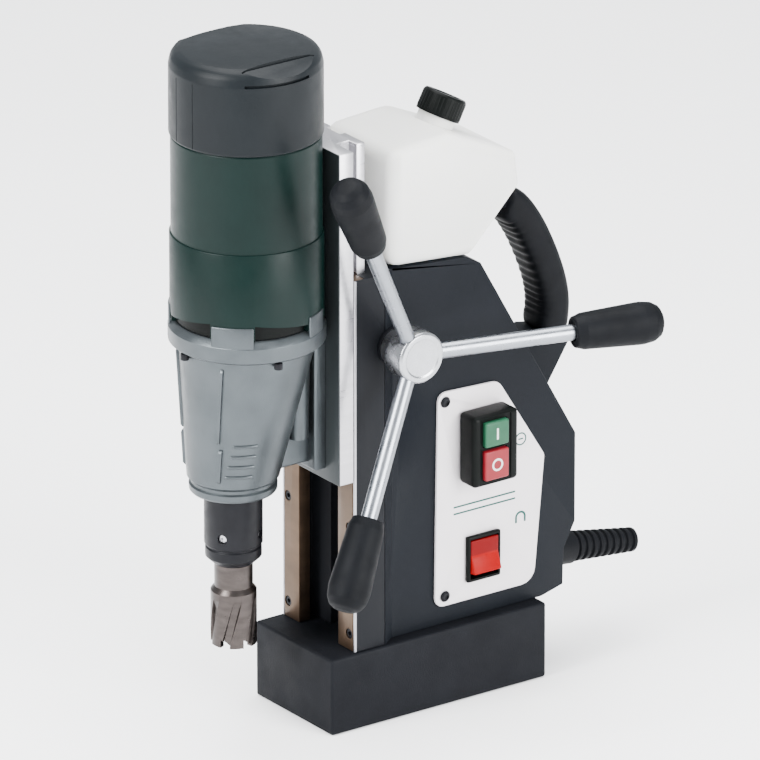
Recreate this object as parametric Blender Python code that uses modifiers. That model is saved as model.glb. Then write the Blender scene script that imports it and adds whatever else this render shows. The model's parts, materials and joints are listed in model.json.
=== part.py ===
"""Magnetic drill press: a drill motor that rides up and down a magnetic stand.

Units are metres. +Z is up and the drill hangs on the -Y side. The origin is the centre of the magnet's
bottom face. +X is the operator's side, with the feed handles and the control panel. Every height above the
magnet foot is counted from the foot's top.
"""

import math

import bmesh
import bpy
from mathutils import Matrix, Vector

# Gaps between pieces.
GAP = 0.0003
RUNNING_GAP = 0.0001
SLIDING_GAP = 0.0004

# Segments around large and small round pieces.
FINE = 32
COARSE = 20
SMALL = 12

# Magnet foot.
MAGNET_LENGTH = 0.160
MAGNET_WIDTH = 0.080
MAGNET_HEIGHT = 0.049
MAGNET_ROUNDING = 0.0015
POLE_OFFSET = 0.038
POLE_CORE = 0.026
COIL_GROOVE_SIZE = 0.056
COIL_GROOVE_DEPTH = 0.036
SLOT_COVER_THICKNESS = 0.004
SLOT_COVER_RECESS = 0.0005

# Stand housing, a hollow casting on the foot. Outline places are (Y, Z).
HOUSING_WIDTH = 0.062
HOUSING_WALL = 0.005
HOUSING_FRONT_BLOCK = 0.0247
TOP_FRONT_Z = MAGNET_HEIGHT + 0.240
TOP_REAR = (0.0247, MAGNET_HEIGHT + 0.2348)
SHOULDER = (0.0365, MAGNET_HEIGHT + 0.2285)
REAR_BULGE = (0.108, MAGNET_HEIGHT + 0.102)
REAR_BULGE_BOTTOM_Z = MAGNET_HEIGHT + 0.044
REAR_FOOT = (0.0995, MAGNET_HEIGHT + 0.028)
REAR_OVERHANG_Z = MAGNET_HEIGHT + 0.0045
FLARE_DEPTH = 0.0107

# Guide column with its brass gibs.
COLUMN_WIDTH = 0.075
COLUMN_FRONT_Y = -0.0615
COLUMN_BACK_Y = -0.039
GIB_POCKET_WIDTH = 0.072
GIB_POCKET_DEPTH = 0.0085
GIB_INNER_X = 0.0203
SLOT_WIDTH = 0.056
SLOT_DEPTH = 0.0068
RACK_CHANNEL_WIDTH = 0.018
RACK_CHANNEL_DEPTH = 0.0052
GIB_SCREW_X = 0.0318
GIB_SCREW_PITCH = 0.069
GIB_SCREW_LOWEST_Z = MAGNET_HEIGHT + 0.011
GIB_HOLE_COUNT = 4
GIB_SCREW_ROWS_SHOWN = 2
GIB_SCREW_HEAD_RADIUS = 0.0030
GIB_SCREW_HEAD_HEIGHT = 0.004
GIB_SCREW_SHANK_RADIUS = 0.0019
GIB_SCREW_LENGTH = 0.0155

# Slide plate and rack.
SLIDE_BOTTOM_Z = MAGNET_HEIGHT + 0.111
SLIDE_LENGTH = 0.212
SLIDE_THICKNESS = 0.0108
SLIDE_NECK_HALF = 0.0197
RACK_WIDTH = 0.014
RACK_BACK_DEPTH = 0.0044
RACK_END_MARGIN = 0.006

# Feed pinion, hub and handles.
FEED_Y = -0.032
FEED_Z = MAGNET_HEIGHT + 0.1935
FEED_TEETH = 16
FEED_MODULE = 0.0015
FEED_SHAFT_RADIUS = 0.006
PINION_FACE = 0.019
PINION_POCKET_RADIUS = 0.0147
PINION_POCKET_WIDTH = 0.022
BUSHING_RADIUS = 0.009
BUSHING_FLANGE_RADIUS = 0.0125
FEED_BOSS_RADIUS = 0.0125
BUSHING_FLANGE = 0.003
SHAFT_CAP_RADIUS = 0.011
SHAFT_CAP_THICKNESS = 0.006
HUB_COLLAR_RADIUS = 0.0130
HUB_COLLAR_END_X = COLUMN_WIDTH / 2 + 0.0105
HUB_RADIUS = 0.016
HUB_END_X = COLUMN_WIDTH / 2 + 0.0290
HANDLE_COUNT = 3
HANDLE_FIRST_ANGLE = math.radians(-0.5)
HANDLE_LEAN = math.radians(14.0)
HANDLE_ROOT_X = COLUMN_WIDTH / 2 + 0.0195
ROD_RADIUS = 0.005
ROD_SOCKET_DEPTH = 0.006
ROD_END = 0.150
GRIP_START = 0.103
GRIP_END = 0.161
GRIP_RADIUS = 0.0132
GRIP_NECK_RADIUS = 0.0085

# Drill axes and levels.
SPINDLE_Y = -0.124
MOTOR_Y = -0.1135
CUTTER_TIP_Z = MAGNET_HEIGHT + 0.011
CUTTER_STEP_Z = MAGNET_HEIGHT + 0.046
ARBOR_BOTTOM_Z = MAGNET_HEIGHT + 0.063
GEARCASE_BOTTOM_Z = MAGNET_HEIGHT + 0.110
GEARCASE_TOP_Z = MAGNET_HEIGHT + 0.219
MOTOR_SEAM_Z = MAGNET_HEIGHT + 0.336
MOTOR_TOP_Z = MAGNET_HEIGHT + 0.392
MOTOR_RADIUS = 0.0464
MOTOR_WALL = 0.003
CAP_ROUNDING = 0.011
FLANGE_RADIUS = 0.0475
FLANGE_HEIGHT = 0.016
GEARCASE_WALL = 0.004
GEARCASE_CONE_WALL = 0.002
GEARCASE_CONE_FOOT_RADIUS = 0.028
GEARCASE_NECK = 0.010
GEARCASE_NOSE_RADIUS = 0.026
GEARCASE_NOSE_LIP = 0.005
GEARCASE_MOUNT_WIDTH = 0.050
GEARCASE_FLOOR_Z = MAGNET_HEIGHT + 0.145
GEARCASE_CAVITY_Z = MAGNET_HEIGHT + 0.183

# Cutter, arbor and spindle.
CUTTER_RADIUS = 0.014
CUTTER_BORE_RADIUS = 0.0105
CUTTER_NECK_RADIUS = 0.0117
CUTTER_HOLLOW_DEPTH = 0.031
CUTTER_FLUTES = 6
SHANK_RADIUS = 0.0095
SHANK_LENGTH = 0.019
PIN_RADIUS = 0.0031
PIN_HEAD_RADIUS = 0.0048
PIN_HEAD_HEIGHT = 0.005
PIN_TIP_Z = MAGNET_HEIGHT + 0.012
ARBOR_RADIUS = 0.01775
ARBOR_NOSE_RADIUS = 0.012
ARBOR_NOSE_HEIGHT = 0.004
SPINDLE_NOSE_Z = MAGNET_HEIGHT + 0.086
SPINDLE_RADIUS = 0.010
SPINDLE_TOP_Z = MAGNET_HEIGHT + 0.165
SPINDLE_BORE_RADIUS = 0.0053
SPINDLE_BORE_TOP_Z = MAGNET_HEIGHT + 0.137
SPRING_WIRE = 0.0006
SPRING_TURNS = 6
BEARING_RADIUS = 0.016
BEARING_WIDTH = 0.009

# Reduction gears.
GEAR_MODULE = 0.00125
MOTOR_PINION_TEETH = 8
LAYSHAFT_WHEEL_TEETH = 24
LAYSHAFT_PINION_TEETH = 10
SPINDLE_WHEEL_TEETH = 28
LOWER_MESH_Z = MAGNET_HEIGHT + 0.150
UPPER_MESH_Z = MAGNET_HEIGHT + 0.189
GEAR_FACE = 0.010
LAYSHAFT_RADIUS = 0.004
GEAR_COVER_THICKNESS = 0.006

# Motor inside.
ARMATURE_SHAFT_RADIUS = 0.004
ARMATURE_RADIUS = 0.0235
STATOR_BORE_RADIUS = 0.0245
STATOR_RADIUS = 0.0400
STATOR_BOTTOM_Z = MAGNET_HEIGHT + 0.253
STATOR_HEIGHT = 0.050
COMMUTATOR_RADIUS = 0.012
FAN_RADIUS = 0.036
FAN_Z = MAGNET_HEIGHT + 0.231
MOTOR_BEARING_RADIUS = 0.011

# Control panel on the +X side. Corners are (Y, Z, corner radius).
PANEL_THICKNESS = 0.002
PANEL_CORNERS = (
    (0.0015, MAGNET_HEIGHT + 0.0125, 0.006),
    (0.0755, MAGNET_HEIGHT + 0.0125, 0.010),
    (0.0830, MAGNET_HEIGHT + 0.0945, 0.006),
    (0.0485, MAGNET_HEIGHT + 0.150, 0.008),
    (0.0035, MAGNET_HEIGHT + 0.152, 0.006),
)
PANEL_WINDOW_MARGIN = 0.008
PANEL_SCREW_Y = 0.0085
PANEL_SCREW_INSET_Z = 0.0065
PANEL_SCREW_RADIUS = 0.0024
SWITCH_LOW = (0.018, MAGNET_HEIGHT + 0.0915)
SWITCH_HIGH = (0.0515, MAGNET_HEIGHT + 0.1375)
SWITCH_BEZEL_X = 0.050
SWITCH_BODY_INSET = 0.006
SWITCH_BODY_X = 0.012
BUTTON_Y = (0.0255, 0.0430)
START_Z = (MAGNET_HEIGHT + 0.117, MAGNET_HEIGHT + 0.133)
STOP_Z = (MAGNET_HEIGHT + 0.0955, MAGNET_HEIGHT + 0.1145)
BUTTON_FACE_X = 0.052
BUTTON_TRAVEL = 0.003
BUTTON_DEPTH = 0.008
ROCKER_Y = (0.0255, 0.0465)
ROCKER_Z = (MAGNET_HEIGHT + 0.0265, MAGNET_HEIGHT + 0.0525)
ROCKER_FRAME_MARGIN = 0.002
ROCKER_FRAME_X = 0.0365
ROCKER_PIVOT_X = 0.029
ROCKER_REST_TILT = math.radians(10.0)
ROCKER_BODY_X = 0.012
ROCKER_FLOOR_X = 0.016
BOARD_X = -0.020
BOARD_THICKNESS = 0.0016
BOARD_Y = (0.014, 0.070)
BOARD_Z = (MAGNET_HEIGHT + 0.029, MAGNET_HEIGHT + 0.131)

# Coolant tank.
TANK_WIDTH = 0.070
TANK_FRONT_Y = -0.033
TANK_GAP_ABOVE_HOUSING = 0.0008
TANK_WALL = 0.0025
TANK_ROUNDING = 0.008
TANK_REAR_FOOT_Y = 0.027
TANK_REAR_LOW = (0.0650, MAGNET_HEIGHT + 0.2745)
TANK_REAR_TOP = (0.0625, MAGNET_HEIGHT + 0.2935)
TANK_RIDGE = (0.0120, MAGNET_HEIGHT + 0.3165)
TANK_FRONT_TOP_Z = MAGNET_HEIGHT + 0.3135
TANK_GROOVE_HALF = 0.0105
TANK_GROOVE_TOP_Z = MAGNET_HEIGHT + 0.257
NECK_FOOT = (0.0234, MAGNET_HEIGHT + 0.3104)
NECK_LEAN = math.radians(28.0)
NECK_RADIUS = 0.0117
NECK_BORE_RADIUS = 0.009
NECK_HEIGHT = 0.017
CAP_RADIUS = 0.014
CAP_FOOT = 0.0062
CAP_TOP = 0.0202
CAP_WALL = 0.002

# Carry handle: the places (Y, Z) that its bar passes through, from the housing's top to the rear lug.
HANDLE_ROUTE = (
    (0.002, MAGNET_HEIGHT + 0.2405),
    (0.022, MAGNET_HEIGHT + 0.2395),
    (0.042, MAGNET_HEIGHT + 0.2475),
    (0.060, MAGNET_HEIGHT + 0.2545),
    (0.076, MAGNET_HEIGHT + 0.2495),
    (0.0875, MAGNET_HEIGHT + 0.236),
    (0.0975, MAGNET_HEIGHT + 0.217),
    (0.1055, MAGNET_HEIGHT + 0.196),
    (0.1085, MAGNET_HEIGHT + 0.179),
    (0.1065, MAGNET_HEIGHT + 0.162),
    (0.1020, MAGNET_HEIGHT + 0.1495),
)
HANDLE_BAR_THICKNESS = 0.007
HANDLE_BAR_WIDTH = 0.015
HANDLE_GRIP_THICKNESS = 0.022
HANDLE_GRIP_WIDTH = 0.027
HANDLE_GRIP_ROUNDING = 0.0025
HANDLE_GRIP_FROM = 0.38
HANDLE_GRIP_TO = 0.905
HANDLE_LUG_WIDTH = 0.027
HANDLE_LUG_START = 0.080
HANDLE_LUG_END = 0.120
HANDLE_SAMPLES = 3

# Cord outlet.
OUTLET_X = 0.005
OUTLET_Z = MAGNET_HEIGHT + 0.018
OUTLET_DROOP = math.radians(8.0)
BOOT_LENGTH = 0.070
BOOT_ROOT_RADIUS = 0.0105
BOOT_TIP_RADIUS = 0.0075
BOOT_BORE_RADIUS = 0.0045
BOOT_FLANGE_RADIUS = 0.0135
BOOT_FLANGE = 0.004

X_AXIS = Vector((1, 0, 0))
Y_AXIS = Vector((0, 1, 0))
Z_AXIS = Vector((0, 0, 1))

HOUSING_HALF = HOUSING_WIDTH / 2
FEED_FACE_X = COLUMN_WIDTH / 2 + GAP
STAND_BOTTOM_Z = MAGNET_HEIGHT + GAP
CAP_AXIS = Vector((0, math.sin(NECK_LEAN), math.cos(NECK_LEAN)))
FEED_PITCH_RADIUS = FEED_TEETH * FEED_MODULE / 2
RACK_PITCH_Y = FEED_Y - FEED_PITCH_RADIUS
SLIDE_BACK_Y = COLUMN_FRONT_Y - SLIDING_GAP
SLIDE_FRONT_Y = SLIDE_BACK_Y - SLIDE_THICKNESS
SLIDE_TOP_Z = SLIDE_BOTTOM_Z + SLIDE_LENGTH
MOTOR_BACK_Y = SLIDE_FRONT_Y - GAP
PANEL_BACK_X = HOUSING_HALF + GAP
PANEL_FRONT_X = PANEL_BACK_X + PANEL_THICKNESS

model = None
cutters = None


# ---------------------------------------------------------------- helpers


def clear_scene():
    """Empties the scene, and makes the collections for the model and for its cutters."""
    global model, cutters
    for obj in list(bpy.data.objects):
        bpy.data.objects.remove(obj, do_unlink=True)
    model = bpy.data.collections.new("magnetic_drill_press")
    cutters = bpy.data.collections.new("cutters")
    cutters.hide_render = True
    bpy.context.scene.collection.children.link(model)
    bpy.context.scene.collection.children.link(cutters)


def finish(name, colour, roughness, metallic=0.0):
    """A Principled material."""
    material = bpy.data.materials.new(name)
    material.use_nodes = True
    shader = material.node_tree.nodes["Principled BSDF"]
    shader.inputs["Base Color"].default_value = (*colour, 1.0)
    shader.inputs["Roughness"].default_value = roughness
    shader.inputs["Metallic"].default_value = metallic
    return material


def make_materials():
    return {
        "charcoal_paint": finish("charcoal_paint", (0.055, 0.060, 0.070), 0.55),
        "machined_steel": finish("machined_steel", (0.60, 0.61, 0.63), 0.28, 1.0),
        "dark_steel": finish("dark_steel", (0.05, 0.05, 0.055), 0.4, 0.8),
        "brass": finish("brass", (0.42, 0.27, 0.16), 0.38, 1.0),
        "cast_aluminium": finish("cast_aluminium", (0.36, 0.39, 0.41), 0.42, 0.7),
        "green_plastic": finish("green_plastic", (0.030, 0.090, 0.070), 0.38),
        "dark_plastic": finish("dark_plastic", (0.030, 0.035, 0.042), 0.40),
        "white_panel": finish("white_panel", (0.75, 0.73, 0.73), 0.45),
        "tank_plastic": finish("tank_plastic", (0.80, 0.80, 0.76), 0.35),
        "black_rubber": finish("black_rubber", (0.022, 0.024, 0.028), 0.65),
        "chrome": finish("chrome", (0.70, 0.71, 0.73), 0.15, 1.0),
        "tool_steel": finish("tool_steel", (0.36, 0.33, 0.31), 0.35, 1.0),
        "copper": finish("copper", (0.55, 0.24, 0.11), 0.4, 1.0),
        "circuit_green": finish("circuit_green", (0.02, 0.16, 0.07), 0.5),
        "green_button": finish("green_button", (0.08, 0.35, 0.19), 0.4),
        "red_button": finish("red_button", (0.60, 0.05, 0.08), 0.4),
    }


def add(name, data, material=None):
    obj = bpy.data.objects.new(name, data)
    model.objects.link(obj)
    if material is not None:
        data.materials.append(material)
    return obj


def remove(obj):
    data = obj.data
    bpy.data.objects.remove(obj, do_unlink=True)
    if isinstance(data, bpy.types.Curve):
        bpy.data.curves.remove(data)


def axis_rotation(direction):
    """The turn that takes local Z to a direction, and local X to world X, Y or -Z."""
    direction = Vector(direction).normalized()
    if abs(direction.x) > 0.99:
        return Matrix.Rotation(math.copysign(math.pi / 2, direction.x), 4, "Y")
    return direction.to_track_quat("Z", "Y").to_matrix().to_4x4()


def box(name, low, high, material=None, rounding=0.0, segments=2):
    """A block between two corners."""
    low = Vector(low)
    high = Vector(high)
    mesh = bpy.data.meshes.new(name)
    shape = bmesh.new()
    bmesh.ops.create_cube(shape, size=1.0)
    bmesh.ops.scale(shape, vec=high - low, verts=shape.verts)
    shape.to_mesh(mesh)
    shape.free()
    obj = add(name, mesh, material)
    obj.location = (low + high) / 2
    if rounding > 0:
        bevel(obj, rounding, segments)
    return obj


def bevel(obj, width, segments=2, angle=math.radians(40)):
    modifier = obj.modifiers.new("rounded_edges", "BEVEL")
    modifier.width = width
    modifier.segments = segments
    modifier.limit_method = "ANGLE"
    modifier.angle_limit = angle
    return modifier


def cylinder(name, start, end, radius, material=None, segments=COARSE, end_radius=None):
    """A straight round bar, or a cone, between two points."""
    start = Vector(start)
    end = Vector(end)
    if end_radius is None:
        end_radius = radius
    mesh = bpy.data.meshes.new(name)
    shape = bmesh.new()
    bmesh.ops.create_cone(
        shape,
        cap_ends=True,
        segments=segments,
        radius1=radius,
        radius2=end_radius,
        depth=(end - start).length,
    )
    shape.to_mesh(mesh)
    shape.free()
    mesh.shade_smooth()
    mesh.set_sharp_from_angle(angle=math.radians(35))
    obj = add(name, mesh, material)
    obj.matrix_world = Matrix.Translation((start + end) / 2) @ axis_rotation(end - start)
    return obj


def leaning_cone(name, low, high, radius, end_radius, material=None):
    """A cone with level ends, whose upper end may stand to one side of its lower end."""
    mesh = bpy.data.meshes.new(name)
    shape = bmesh.new()
    rise = high.z - low.z
    bmesh.ops.create_cone(
        shape, cap_ends=True, segments=FINE, radius1=radius, radius2=end_radius, depth=rise
    )
    for vertex in shape.verts:
        middle = low.lerp(high, vertex.co.z / rise + 0.5)
        vertex.co = Vector((vertex.co.x + middle.x, vertex.co.y + middle.y, middle.z))
    shape.to_mesh(mesh)
    shape.free()
    mesh.shade_smooth()
    mesh.set_sharp_from_angle(angle=math.radians(35))
    return add(name, mesh, material)


def turned(name, profile, centre, direction, material=None, steps=COARSE, ring=False):
    """Turns a profile of (radius, height) round an axis. Its outer side runs from the top down."""
    count = len(profile)
    edges = [(i, i + 1) for i in range(count - 1)]
    if ring:
        edges.append((count - 1, 0))
    mesh = bpy.data.meshes.new(name)
    mesh.from_pydata([(radius, 0.0, height) for radius, height in profile], edges, [])
    obj = add(name, mesh, material)
    obj.matrix_world = Matrix.Translation(centre) @ axis_rotation(direction)
    screw = obj.modifiers.new("turned", "SCREW")
    screw.axis = "Z"
    screw.angle = math.tau
    screw.steps = steps
    screw.render_steps = steps
    screw.use_merge_vertices = True
    screw.merge_threshold = 1e-6
    screw.use_smooth_shade = True
    return obj


def clear_radius(radius, segments=COARSE):
    """The radius of a faceted bore in which a round piece of this radius turns freely."""
    return (radius + RUNNING_GAP) / math.cos(math.pi / segments)


def tube_profile(inner, outer, low, high):
    """The closed profile of a plain ring."""
    return [(outer, high), (outer, low), (inner, low), (inner, high)]


def prism(name, outlines, low, high, along, material=None):
    """Extrudes flat outlines from low to high along X or Z. Later outlines are holes in the first.

    An outline's points are (Y, Z) when it is extruded along X, and (X, Y) along Z.
    """
    curve = bpy.data.curves.new(name, "CURVE")
    curve.dimensions = "2D"
    curve.fill_mode = "BOTH"
    curve.extrude = (high - low) / 2
    for outline in outlines:
        spline = curve.splines.new("POLY")
        spline.points.add(len(outline) - 1)
        for point, (first, second) in zip(spline.points, outline):
            point.co = (first, second, 0.0, 1.0)
        spline.use_cyclic_u = True
    guide = bpy.data.objects.new(name + "_outline", curve)
    model.objects.link(guide)
    turn = Matrix.Identity(4)
    if along == "X":
        turn = Matrix(((0, 0, 1, 0), (1, 0, 0, 0), (0, 1, 0, 0), (0, 0, 0, 1)))
    middle = (low + high) / 2
    place = Matrix.Translation((X_AXIS if along == "X" else Z_AXIS) * middle) @ turn
    obj = solid_from_curve(name, guide, material)
    obj.matrix_world = place
    return obj


def solid_from_curve(name, guide, material):
    """Turns a curve object into a closed mesh object, and removes the curve."""
    bpy.context.view_layer.update()
    evaluated = guide.evaluated_get(bpy.context.evaluated_depsgraph_get())
    mesh = bpy.data.meshes.new_from_object(evaluated)
    mesh.name = name
    shape = bmesh.new()
    shape.from_mesh(mesh)
    bmesh.ops.remove_doubles(shape, verts=shape.verts, dist=1e-7)
    bmesh.ops.recalc_face_normals(shape, faces=shape.faces)
    shape.to_mesh(mesh)
    shape.free()
    place = guide.matrix_world.copy()
    remove(guide)
    obj = add(name, mesh, material)
    obj.matrix_world = place
    return obj


def boolean(target, other, operation):
    """Cuts or joins another solid, which is kept out of sight as a guide."""
    modifier = target.modifiers.new(operation.lower(), "BOOLEAN")
    modifier.operation = operation
    modifier.object = other
    modifier.solver = "EXACT"
    model.objects.unlink(other)
    cutters.objects.link(other)
    other.hide_render = True
    other.display_type = "WIRE"
    return target


def cut(target, *others):
    for other in others:
        boolean(target, other, "DIFFERENCE")
    return target


def join(target, *others):
    for other in others:
        boolean(target, other, "UNION")
    return target


def circle(centre, radius, segments=COARSE, start=0.0):
    """The points of a circle as a flat outline."""
    points = []
    for i in range(segments):
        angle = start + math.tau * i / segments
        points.append((centre[0] + radius * math.cos(angle), centre[1] + radius * math.sin(angle)))
    return points


def rounded_outline(corners, segments=4):
    """A closed outline whose corners (first, second, radius) are arcs."""
    points = []
    count = len(corners)
    for i in range(count):
        corner = Vector(corners[i][:2])
        to_last = (Vector(corners[i - 1][:2]) - corner).normalized()
        to_next = (Vector(corners[(i + 1) % count][:2]) - corner).normalized()
        radius = corners[i][2]
        half = to_last.angle(to_next) / 2
        reach = radius / math.tan(half)
        centre = corner + (to_last + to_next).normalized() * (radius / math.sin(half))
        start = corner + to_last * reach - centre
        end = corner + to_next * reach - centre
        sweep = start.angle_signed(end)
        for step in range(segments + 1):
            turn = -sweep * step / segments
            point = centre + Matrix.Rotation(turn, 2) @ start
            points.append((point.x, point.y))
    return points


def inset_outline(corners, margin):
    """Moves every side of an outline inwards by a margin. Its corners run anticlockwise."""
    moved = []
    count = len(corners)
    for i in range(count):
        before = (Vector(corners[i][:2]) - Vector(corners[i - 1][:2])).normalized()
        after = (Vector(corners[(i + 1) % count][:2]) - Vector(corners[i][:2])).normalized()
        inward_before = Vector((-before.y, before.x))
        inward_after = Vector((-after.y, after.x))
        bisector = (inward_before + inward_after).normalized()
        shift = bisector * (margin / bisector.dot(inward_before))
        moved.append((corners[i][0] + shift.x, corners[i][1] + shift.y))
    return moved


def clipped_circle(centre, radius, back_y, segments=FINE):
    """A circle whose rear is cut flat at back_y, anticlockwise."""
    reach = (back_y - centre[1]) / radius
    if reach >= 1.0:
        return circle(centre, radius, segments)
    first = math.asin(reach)
    sweep = math.tau - (math.pi - 2 * first)
    points = []
    for i in range(segments + 1):
        angle = math.pi - first + sweep * i / segments
        points.append((centre[0] + radius * math.cos(angle), centre[1] + radius * math.sin(angle)))
    return points


def gear_outline(teeth, module, centre=(0.0, 0.0), phase=0.0):
    """Teeth as trapezoids, thin enough to run with free play. A tooth points along phase."""
    pitch_radius = teeth * module / 2
    root = pitch_radius - 1.15 * module
    tip = pitch_radius + 0.80 * module
    pitch = math.tau / teeth
    points = []
    for i in range(teeth):
        middle = phase + i * pitch
        for radius, offset in ((root, -0.25), (tip, -0.11), (tip, 0.11), (root, 0.25)):
            angle = middle + offset * pitch
            points.append((centre[0] + radius * math.cos(angle), centre[1] + radius * math.sin(angle)))
    return points


def smooth_route(places, samples):
    """Points on a Catmull-Rom curve through the places."""
    padded = [places[0], *places, places[-1]]
    points = []
    for i in range(1, len(padded) - 2):
        a, b, c, d = (Vector(place) for place in padded[i - 1 : i + 3])
        for step in range(samples):
            t = step / samples
            bend = (2 * a - 5 * b + 4 * c - d) * t**2
            twist = (3 * b - a - 3 * c + d) * t**3
            points.append(0.5 * (2 * b + (c - a) * t + bend + twist))
    points.append(Vector(places[-1]))
    return points


def strip_outline(route, thickness):
    """The outline of a strip of constant thickness along a route."""
    left = []
    right = []
    for i, point in enumerate(route):
        ahead = route[min(i + 1, len(route) - 1)]
        behind = route[max(i - 1, 0)]
        along = (ahead - behind).normalized()
        across = Vector((-along.y, along.x)) * (thickness / 2)
        left.append(tuple(point + across))
        right.append(tuple(point - across))
    return left + right[::-1]


def axis_empty(name, location, parent=None):
    """An empty on a joint's axis, which the moving pieces hang from."""
    empty = bpy.data.objects.new(name, None)
    empty.empty_display_size = 0.02
    model.objects.link(empty)
    if parent is not None:
        empty.parent = parent
        empty.location = Vector(location) - Vector(parent["place"])
    else:
        empty.location = location
    empty["place"] = list(location)
    return empty


def hang(parent, *pieces):
    """Parents pieces to a joint's empty, where they stand."""
    for piece in pieces:
        piece.parent = parent
        piece.matrix_parent_inverse = Matrix.Translation(parent["place"]).inverted()


# ---------------------------------------------------------------- stand


def make_magnet(mats):
    """The steel foot: two square coils, each round a pole, close the field through the work."""
    half_width = MAGNET_WIDTH / 2
    half_length = MAGNET_LENGTH / 2
    body = box(
        "magnet_body",
        (-half_width, -half_length, 0.0),
        (half_width, half_length, MAGNET_HEIGHT),
        mats["charcoal_paint"],
        MAGNET_ROUNDING,
        1,
    )
    for end, side in (("front", -1), ("rear", 1)):
        middle = side * POLE_OFFSET
        groove = square_ring("groove_" + end, middle, POLE_CORE, COIL_GROOVE_SIZE, -0.01, COIL_GROOVE_DEPTH)
        cut(body, groove)
        inner = POLE_CORE + 2 * GAP
        outer = COIL_GROOVE_SIZE - 2 * GAP
        cover_top = SLOT_COVER_RECESS + SLOT_COVER_THICKNESS
        coil_top = COIL_GROOVE_DEPTH - GAP
        square_ring("coil_" + end, middle, inner, outer, cover_top + GAP, coil_top, mats["copper"])
        cover = "slot_cover_" + end
        square_ring(cover, middle, inner, outer, SLOT_COVER_RECESS, cover_top, mats["brass"])


def square_ring(name, middle_y, inner, outer, low, high, material=None):
    def square(size):
        half = size / 2
        low_y = middle_y - half
        high_y = middle_y + half
        return [(-half, low_y), (half, low_y), (half, high_y), (-half, high_y)]

    return prism(name, [square(outer), square(inner)], low, high, "Z", material)


def housing_corners():
    """The housing's side outline, anticlockwise seen from +X."""
    return [
        (COLUMN_BACK_Y + GAP, STAND_BOTTOM_Z),
        (MAGNET_LENGTH / 2 + 0.003, STAND_BOTTOM_Z),
        (REAR_FOOT[0] - 0.0005, REAR_OVERHANG_Z),
        REAR_FOOT,
        (REAR_BULGE[0], REAR_BULGE_BOTTOM_Z),
        REAR_BULGE,
        SHOULDER,
        TOP_REAR,
        (COLUMN_BACK_Y + GAP, TOP_FRONT_Z),
    ]


def make_housing(mats):
    """The hollow casting. It opens on the +X side behind the panel, and wraps the feed shaft."""
    front_y = COLUMN_BACK_Y + GAP
    body = prism(
        "stand_housing", [housing_corners()], -HOUSING_HALF, HOUSING_HALF, "X", mats["charcoal_paint"]
    )
    column_half = COLUMN_WIDTH / 2
    flare = [
        (-column_half, front_y - GAP / 4),
        (column_half, front_y - GAP / 4),
        (HOUSING_HALF - 0.001, front_y + FLARE_DEPTH),
        (-HOUSING_HALF + 0.001, front_y + FLARE_DEPTH),
    ]
    join(body, prism("front_flare", [flare], STAND_BOTTOM_Z, TOP_FRONT_Z - 0.001, "Z"))
    join(body, handle_lug())

    inner_corners = inset_outline(housing_corners(), HOUSING_WALL)
    cavity_front = front_y + HOUSING_FRONT_BLOCK
    inner_corners[0] = (cavity_front, inner_corners[0][1])
    inner_corners[-1] = (cavity_front, inner_corners[-1][1] - 0.0045)
    inside = HOUSING_HALF - HOUSING_WALL
    cut(body, prism("electronics_cavity", [inner_corners], -inside, inside, "X"))
    window = inset_outline(PANEL_CORNERS, PANEL_WINDOW_MARGIN)
    cut(body, prism("panel_window", [window], inside - 0.002, HOUSING_HALF + 0.002, "X"))

    feed = Vector((0, FEED_Y, FEED_Z))
    boss = X_AXIS * column_half
    join(body, cylinder("feed_boss", feed - boss, feed + boss, FEED_BOSS_RADIUS))
    bore = BUSHING_RADIUS + GAP
    cut(body, cylinder("bushing_bore", feed - X_AXIS * 0.06, feed + X_AXIS * 0.06, bore))
    pocket = PINION_POCKET_WIDTH / 2
    cut(body, cylinder("pinion_pocket", feed - X_AXIS * pocket, feed + X_AXIS * pocket, PINION_POCKET_RADIUS))

    outlet = Vector((OUTLET_X, REAR_FOOT[0], OUTLET_Z))
    cut(body, cylinder("cord_hole", outlet - Y_AXIS * 0.02, outlet + Y_AXIS * 0.02, BOOT_ROOT_RADIUS))
    for z in panel_screw_levels():
        place = Vector((HOUSING_HALF, PANEL_SCREW_Y, z))
        inner_end = place - X_AXIS * 0.011
        outer_end = place + X_AXIS * 0.002
        cut(body, cylinder("panel_thread", inner_end, outer_end, PANEL_SCREW_RADIUS, None, SMALL))
    return body


def handle_seat():
    """The point and direction at which the carry handle's grip meets the rear lug."""
    route = smooth_route(HANDLE_ROUTE, HANDLE_SAMPLES)
    index = round(HANDLE_GRIP_TO * (len(route) - 1))
    along = (route[index] - route[index - 1]).normalized()
    return route[index], along


def handle_lug():
    """The lug that rises from the housing's rear slope to the carry handle."""
    seat, along = handle_seat()
    across = Vector((-along.y, along.x)) * (HANDLE_GRIP_THICKNESS / 2 + 0.0005)
    face = seat + along * 4 * GAP
    slope = (Vector(REAR_BULGE) - Vector(SHOULDER)).normalized()
    inward = Vector((slope.y, -slope.x)) * (HOUSING_WALL * 0.6)
    front_foot = Vector(SHOULDER) + slope * HANDLE_LUG_START
    rear_foot = Vector(SHOULDER) + slope * HANDLE_LUG_END
    outline = [face + across, face - across, front_foot, front_foot + inward, rear_foot + inward, rear_foot]
    half = HANDLE_LUG_WIDTH / 2
    return prism("rear_lug", [[tuple(point) for point in outline]], -half, half, "X")


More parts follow.
